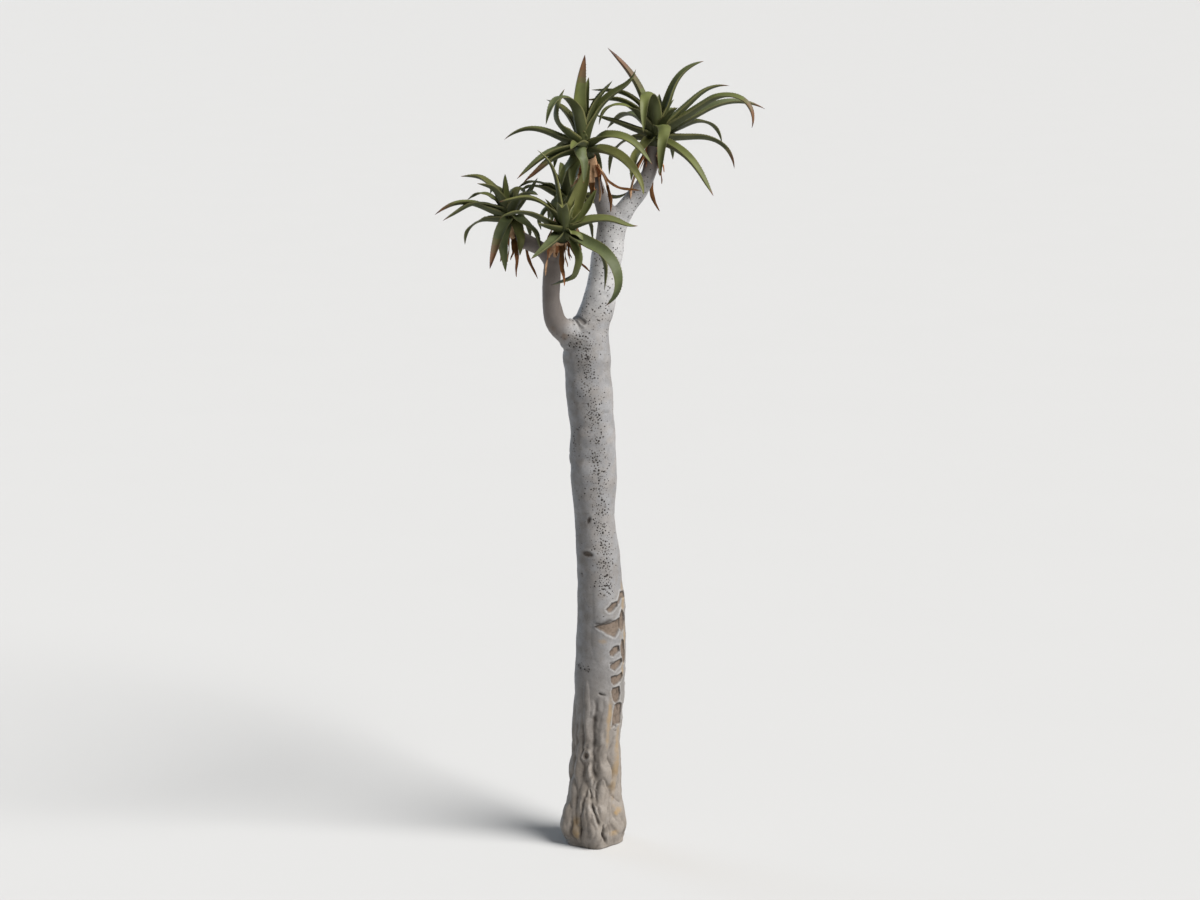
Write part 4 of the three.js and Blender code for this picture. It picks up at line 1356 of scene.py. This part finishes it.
# Geometry nodes and materials


def add_node(tree, kind, inputs=(), **settings):
    """Adds a node with its settings, and its inputs set to values or linked to other nodes' outputs."""
    made = tree.nodes.new(kind)
    for name, value in settings.items():
        setattr(made, name, value)
    for socket, value in dict(inputs).items():
        if isinstance(value, bpy.types.NodeSocket):
            tree.links.new(value, made.inputs[socket])
        else:
            made.inputs[socket].default_value = value
    return made


def new_node_tree(name, inputs):
    """A geometry node tree with a geometry in and out and named inputs, and its input node."""
    tree = bpy.data.node_groups.new(name, "GeometryNodeTree")
    tree.interface.new_socket("Geometry", in_out="INPUT", socket_type="NodeSocketGeometry")
    for label, kind in inputs.items():
        tree.interface.new_socket(label, in_out="INPUT", socket_type=kind)
    tree.interface.new_socket("Geometry", in_out="OUTPUT", socket_type="NodeSocketGeometry")
    return tree, tree.nodes.new("NodeGroupInput")


def grown(name, base, tree, values):
    """What a node tree makes on a base mesh, as a plain mesh object."""
    holder = new_object(name + "_base", base)
    modifier = holder.modifiers.new(name, "NODES")
    modifier.node_group = tree
    for item in tree.interface.items_tree:
        if item.in_out == "INPUT" and item.name in values:
            modifier[item.identifier] = values[item.name]
    bpy.context.view_layer.update()
    evaluated = holder.evaluated_get(bpy.context.evaluated_depsgraph_get())
    mesh = bpy.data.meshes.new_from_object(evaluated)
    mesh.name = name
    holder.modifiers.remove(modifier)
    bpy.data.objects.remove(holder)
    return new_object(name, mesh)


def dots_tree():
    """Scatters low lichen dots over bark, closer where its dots value is high."""
    tree, entry = new_node_tree("lichen_dots", {
        "Spacing": "NodeSocketFloat", "Density": "NodeSocketFloat", "Smallest": "NodeSocketFloat",
        "Largest": "NodeSocketFloat", "Flatness": "NodeSocketFloat", "Seed": "NodeSocketInt",
        "Material": "NodeSocketMaterial"})
    given = entry.outputs
    share = add_node(tree, "GeometryNodeInputNamedAttribute", {"Name": "dots"}, data_type="FLOAT")
    spread = add_node(tree, "GeometryNodeDistributePointsOnFaces", {
        "Mesh": given["Geometry"], "Distance Min": given["Spacing"], "Density Max": given["Density"],
        "Density Factor": share.outputs["Attribute"], "Seed": given["Seed"]}, distribute_method="POISSON")
    dot = add_node(tree, "GeometryNodeMeshIcoSphere", {"Radius": 1.0, "Subdivisions": 1})
    size = add_node(tree, "FunctionNodeRandomValue", {
        "Min": 0.0, "Max": 1.0, "Seed": given["Seed"]}, data_type="FLOAT")
    small = add_node(tree, "ShaderNodeMath", {0: size.outputs[1], 1: 1.6}, operation="POWER")
    width = add_node(tree, "ShaderNodeMapRange", {
        "Value": small.outputs[0], "To Min": given["Smallest"], "To Max": given["Largest"]})
    oval = add_node(tree, "FunctionNodeRandomValue", {
        "Min": (0.75, 0.75, 1.0), "Max": (1.3, 1.3, 1.0), "Seed": given["Seed"]}, data_type="FLOAT_VECTOR")
    flat = add_node(tree, "ShaderNodeCombineXYZ", {"X": 1.0, "Y": 1.0, "Z": given["Flatness"]})
    shape = add_node(tree, "ShaderNodeVectorMath", {
        0: oval.outputs[0], 1: flat.outputs[0]}, operation="MULTIPLY")
    thinned = add_node(tree, "ShaderNodeMapRange", {
        "Value": share.outputs["Attribute"], "To Min": 0.55, "To Max": 1.0})
    spanned = add_node(tree, "ShaderNodeMath", {
        0: width.outputs["Result"], 1: thinned.outputs["Result"]}, operation="MULTIPLY")
    scale = add_node(tree, "ShaderNodeVectorMath", {
        0: shape.outputs[0], "Scale": spanned.outputs[0]}, operation="SCALE")
    placed = add_node(tree, "GeometryNodeInstanceOnPoints", {
        "Points": spread.outputs["Points"], "Instance": dot.outputs["Mesh"],
        "Rotation": spread.outputs["Rotation"], "Scale": scale.outputs[0]})
    real = add_node(tree, "GeometryNodeRealizeInstances", {"Geometry": placed.outputs[0]})
    smooth = add_node(tree, "GeometryNodeSetShadeSmooth", {"Geometry": real.outputs[0]})
    dressed = add_node(tree, "GeometryNodeSetMaterial", {
        "Geometry": smooth.outputs[0], "Material": given["Material"]})
    add_node(tree, "NodeGroupOutput", {0: dressed.outputs[0]})
    return tree


def teeth_tree():
    """Sets small horny teeth along leaf margins, pointing the way the margins' outward values say."""
    tree, entry = new_node_tree("margin_teeth", {
        "Spacing": "NodeSocketFloat", "Length": "NodeSocketFloat", "Seed": "NodeSocketInt",
        "Material": "NodeSocketMaterial"})
    given = entry.outputs
    line = add_node(tree, "GeometryNodeMeshToCurve", {"Mesh": given["Geometry"]})
    places = add_node(tree, "GeometryNodeResampleCurve", {
        "Curve": line.outputs[0], "Length": given["Spacing"]}, mode="LENGTH")
    out = add_node(tree, "GeometryNodeInputNamedAttribute", {"Name": "outward"}, data_type="FLOAT_VECTOR")
    tooth = add_node(tree, "GeometryNodeMeshCone", {
        "Vertices": 4, "Radius Top": 0.0, "Radius Bottom": 0.55, "Depth": 1.0})
    turn = add_node(tree, "FunctionNodeAlignRotationToVector", {"Vector": out.outputs[0]}, axis="Z")
    size = add_node(tree, "FunctionNodeRandomValue", {
        "Min": 0.55, "Max": 1.0, "Seed": given["Seed"]}, data_type="FLOAT")
    scale = add_node(tree, "ShaderNodeMath", {0: size.outputs[1], 1: given["Length"]}, operation="MULTIPLY")
    placed = add_node(tree, "GeometryNodeInstanceOnPoints", {
        "Points": places.outputs[0], "Instance": tooth.outputs["Mesh"], "Rotation": turn.outputs[0],
        "Scale": scale.outputs[0]})
    real = add_node(tree, "GeometryNodeRealizeInstances", {"Geometry": placed.outputs[0]})
    dressed = add_node(tree, "GeometryNodeSetMaterial", {
        "Geometry": real.outputs[0], "Material": given["Material"]})
    add_node(tree, "NodeGroupOutput", {0: dressed.outputs[0]})
    return tree


def new_material(name):
    """An empty procedural material, its node tree and its object coordinates."""
    material = bpy.data.materials.new(name)
    material.use_nodes = True
    material.node_tree.nodes.clear()
    place = add_node(material.node_tree, "ShaderNodeTexCoord")
    return material, material.node_tree, place


def lumps_of(size_mm, detail):
    """Noise settings that make lumps about size_mm across."""
    return {"Scale": 1 / (size_mm * MM), "Detail": detail, "Roughness": 0.55}


def opaque(colour):
    return (*colour, 1.0)


def scaled(colour, share):
    return [c * share for c in colour]


# A Mix node's colour sockets, by number
MIX_SHARE, MIX_FIRST, MIX_SECOND, MIX_RESULT = 0, 6, 7, 2


def bark_material(look):
    """Living quiver-tree bark: smooth, powdery and pale, tan where it has peeled, with painted shade in its
    folds, cracks, knots and hollows and on the shaded boughs, and a painted highlight on the elbow.
    """
    material, tree, coordinates = new_material("quiver_bark")
    place = {"Vector": coordinates.outputs["Object"]}
    amount = {
        name: add_node(tree, "ShaderNodeAttribute", attribute_name=name).outputs["Fac"]
        for name in ("scar", "groove", "stain", "grime", "warmth", "shade", "chalk", "worn")
    }
    drift = add_node(tree, "ShaderNodeTexNoise", {**place, **lumps_of(48, 4)})
    mottle = add_node(tree, "ShaderNodeMapRange", {
        "Value": drift.outputs["Fac"], "From Min": 0.35, "From Max": 0.68}).outputs[0]
    grit = add_node(tree, "ShaderNodeTexNoise", {**place, **lumps_of(5, 2)})
    speck = add_node(tree, "ShaderNodeMapRange", {
        "Value": grit.outputs["Fac"], "From Min": 0.5, "From Max": 0.72, "To Max": 0.32}).outputs[0]
    weather = add_node(tree, "ShaderNodeTexNoise", {**place, **lumps_of(9, 3)})
    wood = add_node(tree, "ShaderNodeMix", {
        MIX_FIRST: opaque(look.scar), MIX_SECOND: opaque(look.scar_dark),
        MIX_SHARE: weather.outputs["Fac"]}, data_type="RGBA")
    layers = (
        (opaque(look.cool), mottle),
        (opaque(look.warm), amount["warmth"]),
        (opaque(look.chalk), amount["chalk"]),
        (opaque(look.bough), amount["shade"]),
        (opaque(look.worn), amount["worn"]),
        (opaque(look.grime), speck),
        (opaque(look.grime), amount["grime"]),
        (opaque(look.stain), amount["stain"]),
        (wood.outputs[MIX_RESULT], amount["scar"]),
        (opaque(look.groove), amount["groove"]),
    )
    base = opaque(look.pale)
    for colour, share in layers:
        base = add_node(tree, "ShaderNodeMix", {
            MIX_FIRST: base, MIX_SECOND: colour, MIX_SHARE: share}, data_type="RGBA").outputs[MIX_RESULT]
    skin = add_node(tree, "ShaderNodeTexNoise", {**place, **lumps_of(3.5, 3)})
    bump = add_node(tree, "ShaderNodeBump", {
        "Height": skin.outputs["Fac"], "Strength": 0.25, "Distance": 1.2 * MM})
    rough = add_node(tree, "ShaderNodeMapRange", {"Value": mottle, "To Min": 0.62, "To Max": 0.8})
    shader = add_node(tree, "ShaderNodeBsdfPrincipled", {
        "Base Color": base, "Roughness": rough.outputs[0], "Normal": bump.outputs[0],
        "Specular IOR Level": 0.35})
    add_node(tree, "ShaderNodeOutputMaterial", {"Surface": shader.outputs[0]})
    return material


def plant_skin(name, colour, fade, drift_mm, roughness, grain_mm, grain_depth, specular):
    """A plant skin: one colour that drifts to a faded one, with a fine grain along the piece."""
    material, tree, coordinates = new_material(name)
    lumps = add_node(tree, "ShaderNodeTexNoise", {
        "Vector": coordinates.outputs["Object"], **lumps_of(drift_mm, 3)})
    drift = add_node(tree, "ShaderNodeMapRange", {
        "Value": lumps.outputs["Fac"], "From Min": 0.35, "From Max": 0.7}).outputs[0]
    base = add_node(tree, "ShaderNodeMix", {
        MIX_FIRST: opaque(colour), MIX_SECOND: opaque(scaled(colour, fade)), MIX_SHARE: drift},
        data_type="RGBA")
    stretch = add_node(tree, "ShaderNodeMapping", {
        "Vector": coordinates.outputs["UV"], "Scale": (1.0, 0.06, 1.0)})
    grain = add_node(tree, "ShaderNodeTexNoise", {"Vector": stretch.outputs[0], **lumps_of(grain_mm, 2)})
    bump = add_node(tree, "ShaderNodeBump", {
        "Height": grain.outputs["Fac"], "Strength": 0.3, "Distance": grain_depth * MM})
    rough = add_node(tree, "ShaderNodeMapRange", {
        "Value": drift, "To Min": roughness, "To Max": roughness + 0.12})
    shader = add_node(tree, "ShaderNodeBsdfPrincipled", {
        "Base Color": base.outputs[MIX_RESULT], "Roughness": rough.outputs[0],
        "Normal": bump.outputs[0], "Specular IOR Level": specular})
    add_node(tree, "ShaderNodeOutputMaterial", {"Surface": shader.outputs[0]})
    return material


# Fleshy leaf under a thin waxy bloom: soft, broad highlights, and fibres drawn coarser than life
LEAF_SKIN = {
    "fade": 0.72, "drift_mm": 45, "roughness": 0.52, "grain_mm": 3.2, "grain_depth": 0.5, "specular": 0.32,
}
# Dead leaf: papery and matt, wrinkled along its length
DRY_SKIN = {
    "fade": 0.55, "drift_mm": 14, "roughness": 0.72, "grain_mm": 2.2, "grain_depth": 1.2, "specular": 0.25,
}
# Crusty lichen: dull, with no highlight to speak of
BLACK_LICHEN = {
    "fade": 0.7, "drift_mm": 6, "roughness": 0.8, "grain_mm": 4, "grain_depth": 0.4, "specular": 0.2,
}
GREY_LICHEN = {**BLACK_LICHEN, "fade": 0.8, "roughness": 0.85}


def leaf_materials(look):
    """Leaf skins, from the clasping base to the scorched tip, with darker greens painted as shade on
    undersides, hearts and leaf bases.
    """
    return [plant_skin(f"leaf_{name}", getattr(look, name), **LEAF_SKIN) for name in LEAF_SLOTS]


def dry_materials(look):
    """Dead leaves, from newly dead to bleached and to old."""
    return [plant_skin(name, getattr(look, name), **DRY_SKIN) for name in DRY_SLOTS]


# Settings


def colour_setting(name, hex_colour, description):
    return FloatVectorProperty(
        name=name, description=description, default=linear(hex_colour), subtype="COLOR")


def size_setting(name, millimetres, description):
    return FloatProperty(name=name, description=description, default=millimetres * MM, unit="LENGTH")


def angle_setting(name, degrees, description):
    return FloatProperty(
        name=name, description=description, default=math.radians(degrees), subtype="ANGLE")


def strength_setting(name, strength, description):
    return FloatProperty(name=name, description=description, default=strength)


class KokerboomBark(bpy.types.PropertyGroup):
    """The bark's mesh and colours."""

    step: FloatProperty(name="Mesh step", description="Size of the bark's faces",
                        default=3.2 * MM, min=2.4 * MM, unit="LENGTH")
    pale: colour_setting("Pale", "#939395", "Smooth bark in the light")
    cool: colour_setting("Cool", "#818183", "Greyer drifts in the pale bark")
    warm: colour_setting("Warm", "#948a7f", "Taupe bark of the root flare")
    # Painted shade: the boughs' bark is darkened towards this brown grey where it lies in shade, on the left
    # and under the rosettes.
    bough: colour_setting("Bough", "#6f6762", "Browner bark of the boughs")
    # Besides the bloom, this white is a painted highlight on the faces of the left bough's elbow that turn
    # towards the key light.
    chalk: colour_setting("Chalk", "#cbcbcc", "Powdery white bloom on the main bough")
    worn: colour_setting("Worn", "#aeadab", "Bark on the crests of its lobes and lips")
    scar: colour_setting("Scar", "#7f7267", "Wood laid bare where bark has peeled")
    scar_dark: colour_setting("Dark scar", "#584a3e", "Weathered drifts in that wood")
    # Painted shade: this near-black brown darkens folds, creases, cracks, knots, hollows and the peels' upper
    # edges, where shade falls; inside the peels it also gives real dark flecks.
    groove: colour_setting("Groove", "#2b231d", "Bark deep in folds, cracks and knots")
    stain: colour_setting("Stain", "#967947", "Ochre that seeps from the bark")
    # This grey also carries painted shade down the trunk's left side and in a valley at its front.
    grime: colour_setting("Grime", "#5c5956", "Grey lichen on the bark")
    dot: colour_setting("Dot", "#3a3735", "Black lichen dots")
    faint_dot: colour_setting("Faint dot", "#63605d", "Older, greyer lichen dots")
    dot_smallest: size_setting("Smallest dot", 1.5, "Half width of the smallest lichen dots")
    dot_largest: size_setting("Largest dot", 4.3, "Half width of the largest lichen dots")
    dot_spacing: size_setting("Dot spacing", 6.2, "Least distance between lichen dots")


class KokerboomLeaves(bpy.types.PropertyGroup):
    """The leaves' colours and teeth."""

    blue_green: colour_setting("Blue green", "#545c3a", "Leaves under a thick bloom")
    olive: colour_setting("Olive", "#5f6537", "Most leaves")
    # Painted shade: a dark green for the bud, the young heart leaves and a leaf in shadow, darker than they
    # are, for the shade inside the rosette.
    yellow_green: colour_setting("Yellow green", "#6a6c3b", "Leaves in full sun")
    deep: colour_setting("Deep green", "#3f4527", "Young leaves in a rosette's heart")
    # Painted shade: leaves' undersides take this darker green for the shade beneath them; the real leaf is
    # much the same colour on both sides.
    underside: colour_setting("Underside", "#474c2b", "Leaves from below")
    bronze: colour_setting("Bronze", "#5f5a38", "Where a leaf begins to scorch")
    amber: colour_setting("Amber", "#655238", "Leaf half scorched")
    rust: colour_setting("Rust", "#694a31", "Scorched leaf")
    brown: colour_setting("Brown", "#4f3323", "Dead leaf tips")
    margin: colour_setting("Margin", "#696840", "Horny leaf margins and teeth")
    # Partly painted shade: this green for the clasping leaf bases is darkened for the shade in the rosette's
    # heart.
    clasp: colour_setting("Clasp", "#4c512e", "Leaf bases that clasp the stem")
    tooth_spacing: size_setting("Tooth spacing", 9, "Distance between margin teeth")
    tooth_length: size_setting("Tooth length", 2.4, "Length of the largest margin teeth")
    dry_orange: colour_setting("Dry orange", "#9a6640", "Newly dead leaves")
    dry_tan: colour_setting("Dry tan", "#c9a27e", "Bleached leaf bases")
    dry_dark: colour_setting("Dry dark", "#66421f", "Old dead leaves")
    seed: IntProperty(name="Seed", description="Chooses the small differences between leaves", default=7)


class KokerboomStage(bpy.types.PropertyGroup):
    """Floor, light and camera."""

    floor: colour_setting("Floor", "#c2c2c2", "Plain pale floor")
    floor_size: size_setting("Floor size", 420000, "Width of the floor")
    sun_strength: strength_setting("Key strength", 5.7, "Soft key light")
    sun_spread: angle_setting("Key spread", 34, "How soft the key light is")
    sun_height: angle_setting("Key height", 45, "Angle of the key light above the floor")
    sun_turn: angle_setting("Key turn", 59, "How far to the viewer's right the key light is")
    rim_strength: strength_setting("Rim strength", 1.05, "Cool light from behind on the left")
    rim_height: angle_setting("Rim height", 14, "Angle of the rim light above the floor")
    rim_turn: angle_setting("Rim turn", -130, "How far round to the left the rim light is")
    sky: strength_setting("Sky", 0.26, "Strength of the light from above")
    horizon: strength_setting("Horizon", 0.04, "Strength of the light from the horizon")
    backdrop: strength_setting("Backdrop", 0.82, "How pale the wall behind the floor looks")
    lens: FloatProperty(name="Lens", description="Focal length in millimetres", default=78)
    pitch: angle_setting("Pitch", 11, "How far the camera looks down")
    distance: size_setting("Distance", 8000, "From the camera to the point it looks at")
    aim: FloatVectorProperty(name="Aim", description="The point the camera looks at",
                             default=(0.019, 0, 1.259), subtype="XYZ", unit="LENGTH")


# Operators

KEY_COLOUR = (1.0, 0.98, 0.95)
RIM_COLOUR = (0.6, 0.79, 1.0)
SENSOR_WIDTH = 36
DOT_DENSITY = 26000
DOT_FLATNESS = 0.16
DRY_SEED = 50  # keeps the dry leaves' draws apart from the green ones'


class KOKERBOOM_OT_stage(bpy.types.Operator):
    """Lay the floor, hang the lights and set the camera"""

    bl_idname = "kokerboom.stage"
    bl_label = "Stage"

    def execute(self, context):
        look = context.scene.kokerboom_stage
        self.lay_floor(look)
        self.hang_lights(context.scene, look)
        self.set_camera(context.scene, look)
        context.scene.view_settings.view_transform = "Standard"
        return {"FINISHED"}

    def lay_floor(self, look):
        reach = look.floor_size / 2
        mesh = bpy.data.meshes.new("floor")
        mesh.from_pydata([(-reach, -reach, 0), (reach, -reach, 0), (reach, reach, 0), (-reach, reach, 0)],
                         [], [(0, 1, 2, 3)])
        # Painted board: matt and even, with a drift too faint to draw the eye
        material, tree, coordinates = new_material("matt_floor")
        drift = add_node(tree, "ShaderNodeTexNoise", {
            "Vector": coordinates.outputs["Object"], **lumps_of(900, 2)})
        base = add_node(tree, "ShaderNodeMix", {
            MIX_FIRST: opaque(look.floor), MIX_SECOND: opaque(scaled(look.floor, 0.985)),
            MIX_SHARE: drift.outputs["Fac"]}, data_type="RGBA")
        shader = add_node(tree, "ShaderNodeBsdfPrincipled", {
            "Base Color": base.outputs[MIX_RESULT], "Roughness": 0.95, "Specular IOR Level": 0.1})
        add_node(tree, "ShaderNodeOutputMaterial", {"Surface": shader.outputs[0]})
        mesh.materials.append(material)
        new_object("floor", mesh)

    def hang_sun(self, name, strength, spread, colour, height, turn):
        light = bpy.data.lights.new(name, "SUN")
        light.energy = strength
        light.angle = spread
        light.color = colour
        new_object(name, light).rotation_euler = (math.pi / 2 - height, 0, turn)

    def hang_lights(self, scene, look):
        """The key and rim lights, and a world whose dim sky looks like a pale wall to the camera."""
        self.hang_sun("key", look.sun_strength, look.sun_spread, KEY_COLOUR, look.sun_height, look.sun_turn)
        self.hang_sun("rim", look.rim_strength, look.sun_spread, RIM_COLOUR, look.rim_height, look.rim_turn)
        world = bpy.data.worlds.new("studio")
        world.use_nodes = True
        tree = world.node_tree
        tree.nodes.clear()
        way = add_node(tree, "ShaderNodeTexCoord").outputs["Generated"]
        up = add_node(tree, "ShaderNodeSeparateXYZ", {0: way}).outputs["Z"]
        level = add_node(tree, "ShaderNodeMapRange", {
            "Value": up, "From Min": 0.0, "From Max": 0.9, "To Min": look.horizon, "To Max": look.sky})
        seen = add_node(tree, "ShaderNodeLightPath").outputs["Is Camera Ray"]
        shown = add_node(tree, "ShaderNodeMix", {0: seen, 2: level.outputs[0], 3: look.backdrop})
        light = add_node(tree, "ShaderNodeBackground", {
            "Color": (1, 1, 1, 1), "Strength": shown.outputs[0]})
        add_node(tree, "ShaderNodeOutputWorld", {"Surface": light.outputs[0]})
        scene.world = world

    def set_camera(self, scene, look):
        lens = bpy.data.cameras.new("camera")
        lens.lens = look.lens
        lens.sensor_width = SENSOR_WIDTH
        lens.clip_end = look.floor_size
        camera = new_object("camera", lens)
        back = (0, -math.cos(look.pitch) * look.distance, math.sin(look.pitch) * look.distance)
        camera.location = [a + b for a, b in zip(look.aim, back)]
        camera.rotation_euler = (math.pi / 2 - look.pitch, 0, 0)
        scene.camera = camera


class KOKERBOOM_OT_bark(bpy.types.Operator):
    """Grow the bark over the trunk and boughs, with its lichen dots"""

    bl_idname = "kokerboom.bark"
    bl_label = "Bark"

    def execute(self, context):
        look = context.scene.kokerboom_bark
        material = bark_material(look)
        lichens = (
            ("dark", plant_skin("black_lichen", look.dot, **BLACK_LICHEN), 3),
            ("faint", plant_skin("grey_lichen", look.faint_dot, **GREY_LICHEN), 8),
        )
        tree = dots_tree()
        solids = (("trunk", ("trunk",)), ("boughs", BOUGH_NODES))
        for (name, nodes), (points, faces, normals, amounts) in zip(solids, bark_pieces(look.step / MM)):
            mesh = new_mesh(f"{name}_bark", points, faces, [material])
            for kind, values in amounts.items():
                add_values(mesh, kind, values)
            mesh.normals_split_custom_set_from_vertices(normals.tolist())
            for label, skin, seed in lichens:
                dots = grown(f"{name}_{label}_dots", mesh.copy(), tree, {
                    "Spacing": look.dot_spacing, "Density": DOT_DENSITY, "Smallest": look.dot_smallest,
                    "Largest": look.dot_largest, "Flatness": DOT_FLATNESS, "Seed": seed, "Material": skin})
                seat(dots, "bark")
            mesh.attributes.remove(mesh.attributes["dots"])
            seat(new_object(f"{name}_bark", mesh), "bark", *nodes)
        return {"FINISHED"}


class KOKERBOOM_OT_rosettes(bpy.types.Operator):
    """Grow each rosette's leaves and the teeth on their margins"""

    bl_idname = "kokerboom.rosettes"
    bl_label = "Rosettes"

    def execute(self, context):
        look = context.scene.kokerboom_leaves
        materials = leaf_materials(look)
        tree = teeth_tree()
        deal_fill_leaves()
        for number, (name, rosette) in enumerate(ROSETTES.items()):
            line = LINES[rosette["limb"]]
            draw = np.random.default_rng(look.seed + number)
            pile, margins = Pile(), []
            add_core(pile, line)
            grown_up = [*rosette["shown"], *rosette["fill"]]
            for i, row in enumerate([*grown_up, *heart_rows(rosette)]):
                width = LEAF_WIDTH + WIDTH_PER_LENGTH * row[3]
                drawn = TINTS[draw.choice(len(TINTS), p=TINT_SHARES)]
                if i < len(grown_up):
                    width *= rosette.get("broad", {}).get(i, 1)
                    tint = rosette.get("tint", {}).get(i, drawn)
                else:
                    width *= HEART_SLIMNESS
                    # Painted shade: the young heart leaves take the dark heart green.
                    tint = "deep"
                rust = rosette["rust"].get(i, draw.uniform(*SCORCHED))
                add_leaf(pile, margins, leaf_root(line, row), row, width, tint, rust, draw)
            seat(pile.object(f"{name}_rosette", materials), "leaf", f"rosette_{name}")
            teeth = grown(f"{name}_teeth", self.margin_mesh(margins), tree, {
                "Spacing": look.tooth_spacing, "Length": look.tooth_length, "Seed": look.seed + number,
                "Material": materials[LEAF_SLOTS.index("margin")]})
            seat(teeth, "leaf")
        return {"FINISHED"}

    def margin_mesh(self, margins):
        """The margins as bare edges that know which way is out."""
        mesh = bpy.data.meshes.new("margins")
        edges, start = [], 0
        for line, _ in margins:
            edges.extend((start + i, start + i + 1) for i in range(len(line) - 1))
            start += len(line)
        mesh.from_pydata((np.vstack([line for line, _ in margins]) * MM).tolist(), edges, [])
        outward = mesh.attributes.new("outward", "FLOAT_VECTOR", "POINT")
        ways = np.vstack([out for _, out in margins])
        outward.data.foreach_set("vector", ways.astype(np.float32).ravel())
        return mesh


class KOKERBOOM_OT_dry_leaves(bpy.types.Operator):
    """Hang the dry leaves and papery leaf bases under each rosette"""

    bl_idname = "kokerboom.dry_leaves"
    bl_label = "Dry leaves"

    def execute(self, context):
        look = context.scene.kokerboom_leaves
        materials = dry_materials(look)
        for number, (name, rosette) in enumerate(ROSETTES.items()):
            line = LINES[rosette["limb"]]
            draw = np.random.default_rng(look.seed + DRY_SEED + number)
            pile = Pile()
            middle = line.at(line.length - sum(DRY_SLEEVE) / 2)
            shag = rosette.get("shag", 1)
            rows = [(row, DRY_WIDTH * draw.uniform(*DRY_WIDTHS)) for row in rosette["dry"]]
            for i in range(rosette["litter"]):
                turn = rosette["start"] + GOLDEN_ANGLE * i + draw.uniform(-LITTER_TURN, LITTER_TURN)
                rise, droop = draw.uniform(*LITTER_RISES), draw.uniform(*LITTER_DROOPS)
                length, sweep = shag * draw.uniform(*LITTER_LENGTHS), draw.uniform(*LITTER_SWEEPS)
                row = (turn, rise, droop, length, LITTER_BEND, sweep, 0)
                rows.append((row, shag * draw.uniform(*LITTER_WIDTHS)))
            for i, (row, width) in enumerate(rows):
                root = middle + heading(row[0]) * (line.thin + 2)
                add_dry_leaf(pile, root, row, width, i in rosette["old"], draw)
            for i in range(rosette["litter"] - 1):
                turn = rosette["start"] + FLAKE_TURN + GOLDEN_ANGLE * i
                add_flake(pile, line, turn, draw.uniform(*FLAKE_LENGTHS), draw.uniform(*FLAKE_WIDTHS), draw)
            seat(pile.object(f"{name}_dry_leaves", materials), "dry_leaf", f"dry_leaves_{name}")
        return {"FINISHED"}


class KOKERBOOM_PT_tree(bpy.types.Panel):
    """The tree's pieces and their settings"""

    bl_label = "Kokerboom"
    bl_idname = "KOKERBOOM_PT_tree"
    bl_space_type = "VIEW_3D"
    bl_region_type = "UI"
    bl_category = "Kokerboom"

    def draw(self, context):
        for operator in OPERATORS:
            self.layout.operator(operator.bl_idname)
        for name in SETTINGS:
            group = getattr(context.scene, name)
            box = self.layout.box()
            for key in group.bl_rna.properties.keys():
                if key not in ("rna_type", "name"):
                    box.prop(group, key)


SETTINGS = {
    "kokerboom_stage": KokerboomStage,
    "kokerboom_bark": KokerboomBark,
    "kokerboom_leaves": KokerboomLeaves,
}
OPERATORS = (KOKERBOOM_OT_stage, KOKERBOOM_OT_bark, KOKERBOOM_OT_rosettes, KOKERBOOM_OT_dry_leaves)


def register():
    for item in (*SETTINGS.values(), *OPERATORS, KOKERBOOM_PT_tree):
        bpy.utils.register_class(item)
    for name, group in SETTINGS.items():
        setattr(bpy.types.Scene, name, PointerProperty(type=group))


def unregister():
    for name in SETTINGS:
        delattr(bpy.types.Scene, name)
    for item in reversed((*SETTINGS.values(), *OPERATORS, KOKERBOOM_PT_tree)):
        bpy.utils.unregister_class(item)


def main():
    register()
    bpy.ops.kokerboom.stage()
    bpy.ops.kokerboom.bark()
    bpy.ops.kokerboom.rosettes()
    bpy.ops.kokerboom.dry_leaves()


if __name__ == "__main__":
    main()
